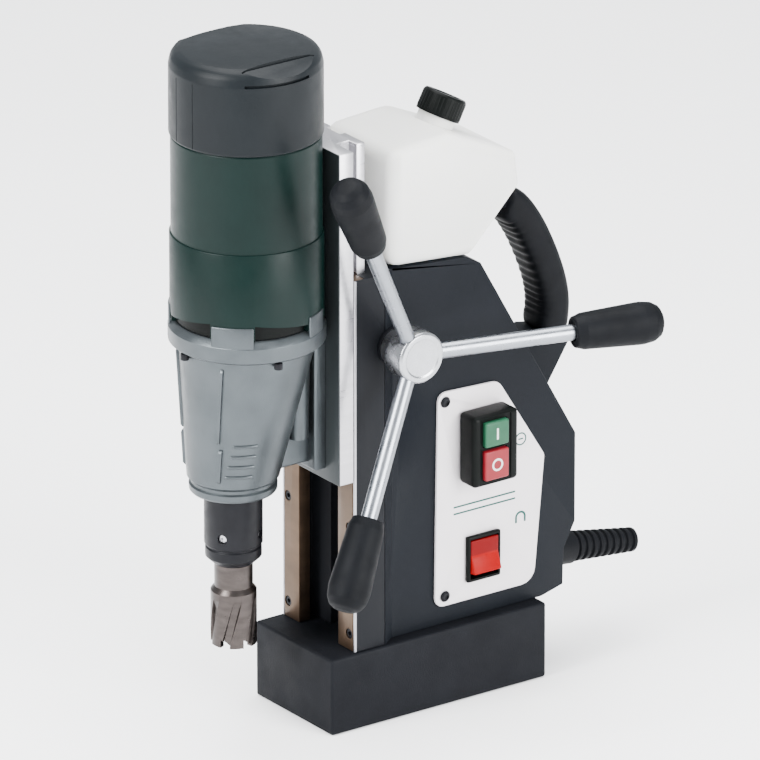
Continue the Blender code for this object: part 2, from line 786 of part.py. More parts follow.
def make_column(mats):
    """The machined column: a pocket for the gibs, a slot for the slide's tail, a channel for the rack."""
    half = COLUMN_WIDTH / 2
    top = TOP_FRONT_Z
    column = box(
        "guide_column",
        (-half, COLUMN_FRONT_Y, STAND_BOTTOM_Z),
        (half, COLUMN_BACK_Y, top),
        mats["machined_steel"],
    )
    below = STAND_BOTTOM_Z - 0.01
    above = top + 0.01
    half_pocket = GIB_POCKET_WIDTH / 2
    half_slot = SLOT_WIDTH / 2
    half_channel = RACK_CHANNEL_WIDTH / 2
    slot_front = COLUMN_FRONT_Y + GIB_POCKET_DEPTH
    slot_back = slot_front + SLOT_DEPTH
    channel = [
        (-half_pocket, COLUMN_FRONT_Y - 0.01),
        (half_pocket, COLUMN_FRONT_Y - 0.01),
        (half_pocket, slot_front),
        (half_slot, slot_front),
        (half_slot, slot_back),
        (half_channel, slot_back),
        (half_channel, slot_back + RACK_CHANNEL_DEPTH),
        (-half_channel, slot_back + RACK_CHANNEL_DEPTH),
        (-half_channel, slot_back),
        (-half_slot, slot_back),
        (-half_slot, slot_front),
        (-half_pocket, slot_front),
    ]
    cut(column, prism("guide_channel", [channel], below, above, "Z"))
    feed = Vector((0, FEED_Y, FEED_Z))
    reach = X_AXIS * (PINION_POCKET_WIDTH / 2)
    cut(column, cylinder("pinion_window", feed - reach, feed + reach, PINION_POCKET_RADIUS))
    across = X_AXIS * (half + 0.01)
    cut(column, cylinder("boss_clearance", feed - across, feed + across, clear_radius(FEED_BOSS_RADIUS)))
    for side in (-1, 1):
        for z in gib_screw_levels():
            mouth = Vector((side * GIB_SCREW_X, slot_front - 0.001, z))
            thread = GIB_SCREW_SHANK_RADIUS + GAP
            cut(column, cylinder("gib_thread", mouth, mouth + Y_AXIS * 0.0105, thread, None, SMALL))
    return column


def gib_screw_levels():
    return [GIB_SCREW_LOWEST_Z + i * GIB_SCREW_PITCH for i in range(GIB_HOLE_COUNT)]


def make_gibs(mats):
    """Two brass strips that hold the slide's tail in the column, screwed on from the front."""
    low_z = STAND_BOTTOM_Z + GAP
    front_y = COLUMN_FRONT_Y
    back_y = COLUMN_FRONT_Y + GIB_POCKET_DEPTH - GAP
    outer_x = GIB_POCKET_WIDTH / 2 - GAP
    for name, side in (("left", -1), ("right", 1)):
        low_x, high_x = sorted((side * GIB_INNER_X, side * outer_x))
        gib = box("gib_" + name, (low_x, front_y, low_z), (high_x, back_y, TOP_FRONT_Z), mats["brass"])
        for row, z in enumerate(gib_screw_levels()):
            face = Vector((side * GIB_SCREW_X, front_y, z))
            head = GIB_SCREW_HEAD_RADIUS + GAP
            shank = GIB_SCREW_SHANK_RADIUS + GAP
            head_floor = GIB_SCREW_HEAD_HEIGHT + 2 * GAP
            step = [
                (0.0, GIB_SCREW_LENGTH),
                (shank, GIB_SCREW_LENGTH),
                (shank, head_floor),
                (head, head_floor),
                (head, -head_floor),
                (0.0, -head_floor),
            ]
            cut(gib, turned("stepped_hole", step, face, Y_AXIS, None, SMALL))
            if row < GIB_SCREW_ROWS_SHOWN:
                make_socket_screw(f"gib_screw_{name}_{row + 1}", face + Y_AXIS * GAP, mats["dark_steel"])


def make_socket_screw(name, face, material):
    """A socket head screw whose head faces -Y."""
    head = GIB_SCREW_HEAD_RADIUS
    shank = GIB_SCREW_SHANK_RADIUS
    socket = head * 0.5
    profile = [
        (0.0, GIB_SCREW_LENGTH),
        (shank, GIB_SCREW_LENGTH),
        (shank, GIB_SCREW_HEAD_HEIGHT),
        (head, GIB_SCREW_HEAD_HEIGHT),
        (head, 0.0),
        (socket, 0.0),
        (socket, GIB_SCREW_HEAD_HEIGHT * 0.6),
        (0.0, GIB_SCREW_HEAD_HEIGHT * 0.6),
    ]
    return turned(name, profile, face, Y_AXIS, material, SMALL)


def make_bushings(mats):
    """Flanged bushings that carry the feed shaft in the housing's two walls."""
    for name, side in (("left", -1), ("right", 1)):
        start = PINION_POCKET_WIDTH / 2 + GAP
        wall = FEED_FACE_X
        inner = clear_radius(FEED_SHAFT_RADIUS)
        profile = [
            (BUSHING_FLANGE_RADIUS, wall + BUSHING_FLANGE),
            (BUSHING_FLANGE_RADIUS, wall),
            (BUSHING_RADIUS, wall),
            (BUSHING_RADIUS, start),
            (inner, start),
            (inner, wall + BUSHING_FLANGE),
        ]
        turned("feed_bushing_" + name, profile, (0, FEED_Y, FEED_Z), X_AXIS * side, mats["brass"], ring=True)


# ---------------------------------------------------------------- control panel


def panel_screw_levels():
    low = PANEL_CORNERS[0][1] + PANEL_SCREW_INSET_Z
    high = PANEL_CORNERS[-1][1] - PANEL_SCREW_INSET_Z
    return [low, high]


def make_panel(mats):
    """The white control panel, with cut-outs for the push switch and the magnet's rocker."""
    outline = rounded_outline(PANEL_CORNERS)
    panel = prism("control_panel", [outline], PANEL_BACK_X, PANEL_FRONT_X, "X", mats["white_panel"])
    inset = SWITCH_BODY_INSET - GAP
    low_x = PANEL_BACK_X - 0.01
    high_x = PANEL_FRONT_X + 0.01
    switch_low = (low_x, SWITCH_LOW[0] + inset, SWITCH_LOW[1] + inset)
    switch_high = (high_x, SWITCH_HIGH[0] - inset, SWITCH_HIGH[1] - inset)
    cut(panel, box("switch_cutout", switch_low, switch_high))
    outer = ROCKER_FRAME_MARGIN / 2 + GAP
    rocker_low = (low_x, ROCKER_Y[0] - outer, ROCKER_Z[0] - outer)
    rocker_high = (high_x, ROCKER_Y[1] + outer, ROCKER_Z[1] + outer)
    cut(panel, box("rocker_cutout", rocker_low, rocker_high))
    for i, z in enumerate(panel_screw_levels()):
        place = Vector((PANEL_BACK_X, PANEL_SCREW_Y, z))
        hole = PANEL_SCREW_RADIUS
        cut(panel, cylinder("screw_hole", place - X_AXIS * 0.01, place + X_AXIS * 0.01, hole, None, SMALL))
        make_panel_screw(f"panel_screw_{i + 1}", z, mats["dark_steel"])


def make_panel_screw(name, z, material):
    shank = PANEL_SCREW_RADIUS - GAP
    head = PANEL_SCREW_RADIUS * 1.6
    seat = GAP
    profile = [
        (0.0, 0.0018 + seat),
        (head * 0.6, 0.0016 + seat),
        (head, seat),
        (shank, seat),
        (shank, -0.010),
        (0.0, -0.010),
    ]
    return turned(name, profile, (PANEL_FRONT_X, PANEL_SCREW_Y, z), X_AXIS, material, SMALL)


def make_push_switch(mats):
    """The start and stop switch: a block through the panel with two sprung buttons."""
    inset = SWITCH_BODY_INSET
    body_low = (SWITCH_BODY_X, SWITCH_LOW[0] + inset, SWITCH_LOW[1] + inset)
    body_high = (PANEL_FRONT_X + 0.002, SWITCH_HIGH[0] - inset, SWITCH_HIGH[1] - inset)
    block = box(
        "switch_block",
        (PANEL_FRONT_X + GAP, *SWITCH_LOW),
        (SWITCH_BEZEL_X, *SWITCH_HIGH),
        mats["dark_plastic"],
        0.002,
    )
    join(block, box("switch_body", body_low, body_high))
    pocket_x = BUTTON_FACE_X - BUTTON_DEPTH - BUTTON_TRAVEL - GAP
    for name, levels, material in (
        ("start_button", START_Z, mats["green_button"]),
        ("stop_button", STOP_Z, mats["red_button"]),
    ):
        pocket_low = (pocket_x, BUTTON_Y[0] - GAP, levels[0] - GAP)
        pocket_high = (SWITCH_BEZEL_X + 0.01, BUTTON_Y[1] + GAP, levels[1] + GAP)
        cut(block, box(name + "_pocket", pocket_low, pocket_high))
        button = box(
            name,
            (BUTTON_FACE_X - BUTTON_DEPTH, BUTTON_Y[0], levels[0]),
            (BUTTON_FACE_X, BUTTON_Y[1], levels[1]),
            material,
            0.0008,
            1,
        )
        middle = (BUTTON_FACE_X, sum(BUTTON_Y) / 2, sum(levels) / 2)
        hang(axis_empty(name + "_axis", middle), button)


def make_rocker_switch(mats):
    """The magnet's rocker in its frame. It tips about an axis along Y."""
    margin = ROCKER_FRAME_MARGIN
    frame = box(
        "rocker_frame",
        (PANEL_FRONT_X + GAP, ROCKER_Y[0] - margin, ROCKER_Z[0] - margin),
        (ROCKER_FRAME_X, ROCKER_Y[1] + margin, ROCKER_Z[1] + margin),
        mats["dark_plastic"],
        0.001,
        1,
    )
    outer = margin / 2
    body_low = (ROCKER_BODY_X, ROCKER_Y[0] - outer, ROCKER_Z[0] - outer)
    body_high = (PANEL_FRONT_X + 0.001, ROCKER_Y[1] + outer, ROCKER_Z[1] + outer)
    join(frame, box("rocker_body", body_low, body_high))
    pocket_low = (ROCKER_FLOOR_X, ROCKER_Y[0], ROCKER_Z[0])
    pocket_high = (0.06, ROCKER_Y[1], ROCKER_Z[1])
    cut(frame, box("rocker_pocket", pocket_low, pocket_high))
    middle = Vector((ROCKER_PIVOT_X, sum(ROCKER_Y) / 2, sum(ROCKER_Z) / 2))
    half_height = (ROCKER_Z[1] - ROCKER_Z[0]) / 2 - 0.0024
    half_width = (ROCKER_Y[1] - ROCKER_Y[0]) / 2 - GAP
    outline = [
        (-half_height, 0.010),
        (0.0, 0.0080),
        (half_height, 0.010),
        (half_height, 0.004),
        (0.006, -0.006),
        (-0.006, -0.006),
        (-half_height, 0.004),
    ]
    rocker = prism("magnet_rocker", [outline[::-1]], -half_width, half_width, "Z", mats["red_button"])
    upright = Matrix(((0, 1, 0, 0), (0, 0, 1, 0), (1, 0, 0, 0), (0, 0, 0, 1)))
    tilt = Matrix.Rotation(-ROCKER_REST_TILT, 4, "Y")
    rocker.matrix_world = Matrix.Translation(middle) @ tilt @ upright
    hang(axis_empty("rocker_axis", middle), rocker)


def make_circuit_board(mats):
    low = (BOARD_X, BOARD_Y[0], BOARD_Z[0])
    high = (BOARD_X + BOARD_THICKNESS, BOARD_Y[1], BOARD_Z[1])
    return box("circuit_board", low, high, mats["circuit_green"])


# ---------------------------------------------------------------- tank, carry handle and cord outlet


def top_of_housing(y):
    """The height of the housing's sloping top at a given Y."""
    front_y = COLUMN_BACK_Y + GAP
    slope = (TOP_REAR[1] - TOP_FRONT_Z) / (TOP_REAR[0] - front_y)
    return TOP_FRONT_Z + slope * (y - front_y)


def tank_corners():
    """The tank's side outline, anticlockwise seen from +X."""
    lift = TANK_GAP_ABOVE_HOUSING
    return [
        (TANK_FRONT_Y, top_of_housing(TANK_FRONT_Y) + lift),
        (TANK_REAR_FOOT_Y, top_of_housing(TANK_REAR_FOOT_Y) + lift),
        TANK_REAR_LOW,
        TANK_REAR_TOP,
        TANK_RIDGE,
        (TANK_FRONT_Y, TANK_FRONT_TOP_Z),
    ]


def make_tank(mats):
    """The blow-moulded coolant tank, with a leaning filler neck and a groove for the carry handle's bar."""
    half = TANK_WIDTH / 2
    tank = prism("coolant_tank", [tank_corners()], -half, half, "X", mats["tank_plastic"])
    bevel(tank, TANK_ROUNDING, 3, math.radians(60))
    neck_foot = Vector((0, *NECK_FOOT))
    neck = cylinder("neck", neck_foot - CAP_AXIS * 0.006, neck_foot + CAP_AXIS * NECK_HEIGHT, NECK_RADIUS)
    join(tank, neck)
    wall = TANK_WALL
    cavity = prism("tank_cavity", [inset_outline(tank_corners(), wall)], -half + wall, half - wall, "X")
    bevel(cavity, TANK_ROUNDING - wall, 2, math.radians(60))
    groove_front = HANDLE_ROUTE[0][0] - 0.004
    low_z = STAND_BOTTOM_Z
    groove_half = TANK_GROOVE_HALF
    raised = box(
        "groove_wall",
        (-groove_half - wall, groove_front - wall, low_z),
        (groove_half + wall, 0.2, TANK_GROOVE_TOP_Z + wall),
    )
    cut(cavity, raised)
    cut(tank, cavity)
    groove_low = (-groove_half, groove_front, low_z)
    groove_high = (groove_half, 0.2, TANK_GROOVE_TOP_Z)
    cut(tank, box("handle_groove", groove_low, groove_high))
    bore_start = neck_foot - CAP_AXIS * 0.012
    cut(tank, cylinder("neck_bore", bore_start, neck_foot + CAP_AXIS * 0.03, NECK_BORE_RADIUS))
    return tank


def make_tank_cap(mats):
    """The screw cap with its seal. The seal only lifts, and the cap turns as it lifts."""
    foot = Vector((0, *NECK_FOOT))
    ceiling = NECK_HEIGHT + 3 * GAP + 0.0006
    inner = NECK_RADIUS + SLIDING_GAP
    profile = [
        (0.0, CAP_TOP),
        (CAP_RADIUS - 0.0015, CAP_TOP),
        (CAP_RADIUS, CAP_TOP - 0.0015),
        (CAP_RADIUS, CAP_FOOT),
        (inner, CAP_FOOT),
        (inner, ceiling),
        (0.0, ceiling),
    ]
    shell = turned("tank_cap", profile, foot, CAP_AXIS, mats["dark_plastic"])
    seal_low = foot + CAP_AXIS * (NECK_HEIGHT + GAP)
    seal_high = foot + CAP_AXIS * (ceiling - GAP)
    seal = cylinder("tank_cap_seal", seal_low, seal_high, NECK_RADIUS, mats["black_rubber"])
    lift = axis_empty("cap_lift_axis", foot)
    hang(lift, seal)
    hang(axis_empty("cap_turn_axis", foot, lift), shell)


def make_carry_handle(mats):
    """A bent steel bar from the housing's top to the rear lug, in a thick rubber grip."""
    route = smooth_route(HANDLE_ROUTE, HANDLE_SAMPLES)
    bar_half = HANDLE_BAR_WIDTH / 2
    bar_outline = strip_outline(route, HANDLE_BAR_THICKNESS)
    prism("handle_bar", [bar_outline], -bar_half, bar_half, "X", mats["dark_steel"])
    last = len(route) - 1
    covered = route[round(HANDLE_GRIP_FROM * last) : round(HANDLE_GRIP_TO * last) + 1]
    grip_half = HANDLE_GRIP_WIDTH / 2
    grip_outline = strip_outline(covered, HANDLE_GRIP_THICKNESS)
    grip = prism("handle_grip", [grip_outline], -grip_half, grip_half, "X", mats["black_rubber"])
    bevel(grip, HANDLE_GRIP_ROUNDING, 1, math.radians(60))
    hole_half = bar_half + GAP
    hole = strip_outline(route, HANDLE_BAR_THICKNESS + 2 * GAP)
    cut(grip, prism("bar_hole", [hole], -hole_half, hole_half, "X"))


def cut_handle_slot(housing):
    """The slot in the rear lug that takes the end of the handle's bar."""
    route = smooth_route(HANDLE_ROUTE, HANDLE_SAMPLES)
    along = (route[-1] - route[-2]).normalized()
    end = route[-1] + along * GAP * 2
    seat, seat_direction = handle_seat()
    start = seat - seat_direction * 0.004
    start_index = round(HANDLE_GRIP_TO * (len(route) - 1))
    points = [start, *route[start_index:-1], end]
    half = HANDLE_BAR_WIDTH / 2 + GAP
    outline = strip_outline(points, HANDLE_BAR_THICKNESS + 2 * GAP)
    cut(housing, prism("bar_slot", [outline], -half, half, "X"))


def make_cord_outlet(mats):
    """The rubber boot and its flange, through which the mains lead leaves the stand."""
    direction = Vector((0, math.cos(OUTLET_DROOP), -math.sin(OUTLET_DROOP)))
    root = Vector((OUTLET_X, REAR_FOOT[0] + 0.0012, OUTLET_Z))
    rib_count = 4
    ribs_start = 0.022
    profile = []
    length = BOOT_LENGTH
    for i in range(rib_count * 2):
        at = length - (length - ribs_start) * i / (rib_count * 2)
        share = at / length
        radius = BOOT_ROOT_RADIUS + (BOOT_TIP_RADIUS - BOOT_ROOT_RADIUS) * share
        profile.append((radius - (0.0014 if i % 2 else 0.0), at))
    profile.append((BOOT_ROOT_RADIUS, ribs_start))
    profile.append((BOOT_ROOT_RADIUS + 0.0005, BOOT_FLANGE))
    profile.append((BOOT_FLANGE_RADIUS, BOOT_FLANGE))
    profile.append((BOOT_FLANGE_RADIUS, 0.0020))
    profile.append((BOOT_BORE_RADIUS, 0.0020))
    profile.append((BOOT_BORE_RADIUS, length))
    turned("strain_relief", profile, root, direction, mats["black_rubber"], ring=True)


# ---------------------------------------------------------------- carriage


def make_slide(mats):
    """The slide plate with its T-shaped tail, and the rack set into the tail."""
    half = COLUMN_WIDTH / 2
    tail_half = SLOT_WIDTH / 2 - SLIDING_GAP
    slot_front = COLUMN_FRONT_Y + GIB_POCKET_DEPTH
    tail_front = slot_front + SLIDING_GAP - GAP
    tail_back = slot_front + SLOT_DEPTH - SLIDING_GAP
    rack_half = RACK_WIDTH / 2 + GAP
    rack_floor = RACK_PITCH_Y - 1.15 * FEED_MODULE - RACK_BACK_DEPTH
    outline = [
        (-half, SLIDE_FRONT_Y),
        (half, SLIDE_FRONT_Y),
        (half, SLIDE_BACK_Y),
        (SLIDE_NECK_HALF, SLIDE_BACK_Y),
        (SLIDE_NECK_HALF, tail_front),
        (tail_half, tail_front),
        (tail_half, tail_back),
        (rack_half, tail_back),
        (rack_half, rack_floor - GAP),
        (-rack_half, rack_floor - GAP),
        (-rack_half, tail_back),
        (-tail_half, tail_back),
        (-tail_half, tail_front),
        (-SLIDE_NECK_HALF, tail_front),
        (-SLIDE_NECK_HALF, SLIDE_BACK_Y),
        (-half, SLIDE_BACK_Y),
    ]
    plate = prism("slide_plate", [outline], SLIDE_BOTTOM_Z, SLIDE_TOP_Z, "Z", mats["machined_steel"])
    rack = make_rack(mats, rack_floor)
    return [plate, rack]


def make_rack(mats, floor_y):
    """Straight teeth towards +Y, with a gap at the pinion's level."""
    pitch = math.pi * FEED_MODULE
    root_y = RACK_PITCH_Y - 1.15 * FEED_MODULE
    tip_y = RACK_PITCH_Y + 0.80 * FEED_MODULE
    low_z = SLIDE_BOTTOM_Z + RACK_END_MARGIN
    high_z = SLIDE_TOP_Z - RACK_END_MARGIN
    first = math.ceil((low_z + pitch * 0.3 - FEED_Z) / pitch - 0.5)
    last = math.floor((high_z - pitch * 0.3 - FEED_Z) / pitch - 0.5)
    points = [(floor_y, high_z), (floor_y, low_z), (root_y, low_z)]
    for i in range(first, last + 1):
        middle = FEED_Z + (i + 0.5) * pitch
        for y, offset in ((root_y, -0.25), (tip_y, -0.11), (tip_y, 0.11), (root_y, 0.25)):
            points.append((y, middle + offset * pitch))
    points.append((root_y, high_z))
    half = RACK_WIDTH / 2
    return prism("feed_rack", [points], -half, half, "X", mats["tool_steel"])


def make_gearcase(mats):
    """The cast gear case: a short nose, a cone that leans out to the motor's axis, and a flange."""
    nose = GEARCASE_NOSE_RADIUS
    bottom = GEARCASE_BOTTOM_Z
    cone_foot = bottom + GEARCASE_NECK
    flange_low = GEARCASE_TOP_Z - FLANGE_HEIGHT
    shoulder = FLANGE_RADIUS - 0.006
    profile = [
        (0.0, cone_foot + GAP),
        (nose, cone_foot + GAP),
        (nose + 0.001, bottom + GEARCASE_NOSE_LIP),
        (nose + 0.001, bottom + 0.001),
        (nose, bottom),
        (0.0, bottom),
    ]
    case = turned("gear_case", profile, (0, SPINDLE_Y, 0), Z_AXIS, mats["cast_aluminium"], FINE)
    cone = leaning_cone(
        "gear_case_cone",
        Vector((0, SPINDLE_Y, cone_foot)),
        Vector((0, MOTOR_Y, flange_low + GAP)),
        GEARCASE_CONE_FOOT_RADIUS,
        shoulder,
    )
    join(case, cone)
    flange_outline = clipped_circle((0, MOTOR_Y), FLANGE_RADIUS, MOTOR_BACK_Y)
    join(case, prism("motor_flange", [flange_outline], flange_low, GEARCASE_TOP_Z, "Z"))
    mount_half = GEARCASE_MOUNT_WIDTH / 2
    mount = box(
        "slide_mount",
        (-mount_half, MOTOR_Y, bottom + 0.008),
        (mount_half, MOTOR_BACK_Y, GEARCASE_TOP_Z - 0.001),
    )
    join(case, mount)
    behind_low = (-FLANGE_RADIUS - 0.01, MOTOR_BACK_Y, bottom - 0.01)
    behind_high = (FLANGE_RADIUS + 0.01, MOTOR_BACK_Y + FLANGE_RADIUS, GEARCASE_TOP_Z + 0.01)
    behind = box("behind_slide", behind_low, behind_high)
    cut(case, behind)
    cover_radius = FLANGE_RADIUS - 0.007 - GEARCASE_WALL
    cover_low = (0, MOTOR_Y, flange_low)
    cover_top = (0, MOTOR_Y, GEARCASE_TOP_Z + 0.01)
    cut(case, cylinder("cover_seat", cover_low, cover_top, cover_radius, None, FINE))
    share = (GEARCASE_CAVITY_Z - cone_foot) / (flange_low - cone_foot)
    cavity_y = SPINDLE_Y + (MOTOR_Y - SPINDLE_Y) * share
    cavity_radius = GEARCASE_CONE_FOOT_RADIUS + (shoulder - GEARCASE_CONE_FOOT_RADIUS) * share
    cavity = leaning_cone(
        "gear_cavity",
        Vector((0, cavity_y, GEARCASE_CAVITY_Z)),
        Vector((0, MOTOR_Y, flange_low + GAP)),
        cavity_radius - GEARCASE_CONE_WALL,
        shoulder - GEARCASE_CONE_WALL,
    )
    cut(case, cavity)
    wheel_radius = (SPINDLE_WHEEL_TEETH / 2 + 1.6) * GEAR_MODULE
    wheel_low = (0, SPINDLE_Y, GEARCASE_FLOOR_Z)
    lower_top = GEARCASE_CAVITY_Z + 0.004
    cut(case, cylinder("wheel_cavity", wheel_low, (0, SPINDLE_Y, lower_top), wheel_radius, None, FINE))
    pinion_radius = (LAYSHAFT_PINION_TEETH / 2 + 1.6) * GEAR_MODULE
    x, y = layshaft_place()
    cut(case, cylinder("pinion_cavity", (x, y, GEARCASE_FLOOR_Z), (x, y, lower_top), pinion_radius))
    journal = clear_radius(LAYSHAFT_RADIUS)
    journal_low = (x, y, GEARCASE_FLOOR_Z - 0.006)
    cut(case, cylinder("layshaft_bore", journal_low, (x, y, GEARCASE_FLOOR_Z + 0.01), journal))
    seat = BEARING_RADIUS + GAP
    spindle_low = (0, SPINDLE_Y, bottom - 0.01)
    spindle_top = (0, SPINDLE_Y, GEARCASE_FLOOR_Z + 0.01)
    cut(case, cylinder("spindle_bore", spindle_low, spindle_top, seat, None, FINE))
    return case


def layshaft_place():
    """Where the layshaft stands so that both gear pairs mesh."""
    to_motor = (MOTOR_PINION_TEETH + LAYSHAFT_WHEEL_TEETH) * GEAR_MODULE / 2
    to_spindle = (LAYSHAFT_PINION_TEETH + SPINDLE_WHEEL_TEETH) * GEAR_MODULE / 2
    span = MOTOR_Y - SPINDLE_Y
    along = (to_spindle**2 - to_motor**2 + span**2) / (2 * span)
    return -math.sqrt(to_spindle**2 - along**2), SPINDLE_Y + along


def make_gear_cover(mats):
    """The plate between the gears and the motor, with seats for the layshaft and the motor's bearing."""
    inner = FLANGE_RADIUS - 0.007 - GEARCASE_WALL - GAP
    top = GEARCASE_TOP_Z
    low = top - GEAR_COVER_THICKNESS
    x, y = layshaft_place()
    holes = [
        circle((0, MOTOR_Y), MOTOR_BEARING_RADIUS + GAP),
        circle((x, y), clear_radius(LAYSHAFT_RADIUS)),
    ]
    outline = circle((0, MOTOR_Y), inner, FINE)
    return prism("gear_cover", [outline, *holes], low, top, "Z", mats["cast_aluminium"])


def make_bearing(name, centre, inner, outer, low, high, material):
    x, y = centre
    profile = tube_profile(inner, outer, low, high)
    return turned(name, profile, (x, y, 0), Z_AXIS, material, COARSE, ring=True)


def make_carriage_bearings(mats):
    steel = mats["machined_steel"]
    spindle = (0, SPINDLE_Y)
    motor = (0, MOTOR_Y)
    low = GEARCASE_BOTTOM_Z + 0.002
    high = GEARCASE_FLOOR_Z - 0.004
    inner = clear_radius(SPINDLE_RADIUS)
    shaft = clear_radius(ARMATURE_SHAFT_RADIUS)
    outer = BEARING_RADIUS
    width = BEARING_WIDTH
    return [
        make_bearing("spindle_bearing_lower", spindle, inner, outer, low, low + width, steel),
        make_bearing("spindle_bearing_upper", spindle, inner, outer, high - width, high, steel),
        make_bearing(
            "motor_bearing_lower",
            motor,
            shaft,
            MOTOR_BEARING_RADIUS,
            GEARCASE_TOP_Z - GEAR_COVER_THICKNESS,
            GEARCASE_TOP_Z,
            steel,
        ),
        make_bearing(
            "motor_bearing_upper",
            motor,
            shaft,
            MOTOR_BEARING_RADIUS,
            MOTOR_TOP_Z - 0.026,
            MOTOR_TOP_Z - 0.017,
            steel,
        ),
    ]


def make_motor_housing(mats):
    """The green motor shell, with its rear flat against the slide."""
    outer = clipped_circle((0, MOTOR_Y), MOTOR_RADIUS, MOTOR_BACK_Y)
    inner = clipped_circle((0, MOTOR_Y), MOTOR_RADIUS - MOTOR_WALL, MOTOR_BACK_Y - MOTOR_WALL)
    low = GEARCASE_TOP_Z + GAP
    return prism("motor_housing", [outer, inner], low, MOTOR_SEAM_Z, "Z", mats["green_plastic"])


def make_motor_cap(mats):
    """The dark cap over the commutator end, with a seat for the upper bearing."""
    low = MOTOR_SEAM_Z + GAP
    profile = [(0.0, MOTOR_TOP_Z)]
    arc_steps = 3
    for i in range(arc_steps + 1):
        angle = math.pi / 2 * (1 - i / arc_steps)
        radius = MOTOR_RADIUS - CAP_ROUNDING * (1 - math.cos(angle))
        profile.append((radius, MOTOR_TOP_Z - CAP_ROUNDING * (1 - math.sin(angle))))
    profile.append((MOTOR_RADIUS, low))
    profile.append((0.0, low))
    cap = turned("motor_cap", profile, (0, MOTOR_Y, 0), Z_AXIS, mats["dark_plastic"], FINE)
    wall = MOTOR_WALL
    inner = MOTOR_RADIUS - wall
    ceiling = MOTOR_TOP_Z - wall * 2
    boss = MOTOR_BEARING_RADIUS + GAP + wall
    hollow = turned(
        "cap_hollow",
        [
            (inner - 0.008, ceiling),
            (inner, ceiling - 0.010),
            (inner, low - 0.01),
            (boss, low - 0.01),
            (boss, ceiling),
        ],
        (0, MOTOR_Y, 0),
        Z_AXIS,
        None,
        FINE,
        ring=True,
    )
    cut(cap, hollow)
    seat_low = (0, MOTOR_Y, MOTOR_TOP_Z - 0.027)
    seat_high = (0, MOTOR_Y, MOTOR_TOP_Z - 0.017 + GAP)
    cut(cap, cylinder("bearing_seat", seat_low, seat_high, MOTOR_BEARING_RADIUS + GAP))
    trim_high = (0, MOTOR_Y, MOTOR_TOP_Z - 0.0265)
    cut(cap, cylinder("boss_trim", (0, MOTOR_Y, low - 0.01), trim_high, boss + 0.001))
    return cap


def make_stator(mats):
    profile = tube_profile(
        STATOR_BORE_RADIUS, min(STATOR_RADIUS, MOTOR_BACK_Y - MOTOR_WALL - MOTOR_Y - GAP),
        STATOR_BOTTOM_Z, STATOR_BOTTOM_Z + STATOR_HEIGHT,
    )
    return turned("stator", profile, (0, MOTOR_Y, 0), Z_AXIS, mats["copper"], FINE, ring=True)


def make_armature(mats, parent):
    """The rotor with its commutator and cut pinion, and the fan that turns with it."""
    pinion_low = UPPER_MESH_Z - 0.0005
    shaft = ARMATURE_SHAFT_RADIUS
    neck = FAN_Z + 0.009
    commutator_low = STATOR_BOTTOM_Z + STATOR_HEIGHT + 0.018
    profile = [
        (0.0, MOTOR_TOP_Z - 0.0185),
        (shaft, MOTOR_TOP_Z - 0.0185),
        (shaft, commutator_low + 0.022),
        (COMMUTATOR_RADIUS, commutator_low + 0.022),
        (COMMUTATOR_RADIUS, commutator_low),
        (shaft, commutator_low),
        (shaft, STATOR_BOTTOM_Z + STATOR_HEIGHT),
        (ARMATURE_RADIUS, STATOR_BOTTOM_Z + STATOR_HEIGHT),
        (ARMATURE_RADIUS, STATOR_BOTTOM_Z),
        (shaft, STATOR_BOTTOM_Z),
        (shaft, UPPER_MESH_Z + GEAR_FACE - 0.001),
        (0.0, UPPER_MESH_Z + GEAR_FACE - 0.001),
    ]
    armature = turned("armature", profile, (0, MOTOR_Y, 0), Z_AXIS, mats["machined_steel"])
    x, y = layshaft_place()
    towards = math.atan2(y - MOTOR_Y, x)
    teeth = gear_outline(MOTOR_PINION_TEETH, GEAR_MODULE, (0, MOTOR_Y), towards)
    join(armature, prism("motor_pinion", [teeth], pinion_low, UPPER_MESH_Z + GEAR_FACE, "Z"))
    bore = shaft + GAP
    fan_profile = [
        (bore + 0.005, neck),
        (bore + 0.005, FAN_Z + 0.002),
        (FAN_RADIUS, FAN_Z + 0.002),
        (FAN_RADIUS, FAN_Z),
        (bore, FAN_Z),
        (bore, neck),
    ]
    fan = turned("cooling_fan", fan_profile, (0, MOTOR_Y, 0), Z_AXIS, mats["dark_plastic"], FINE, ring=True)
    blade_count = 7
    for i in range(blade_count):
        blade_low = (bore + 0.004, -0.0007, FAN_Z + 0.001)
        blade = box("fan_blade", blade_low, (FAN_RADIUS - 0.001, 0.0007, neck - 0.0005))
        middle = Matrix.Translation((0, MOTOR_Y, 0)) @ Matrix.Rotation(math.tau * i / blade_count, 4, "Z")
        blade.matrix_world = middle @ Matrix.Translation(blade.location)
        join(fan, blade)
    hang(parent, armature, fan)


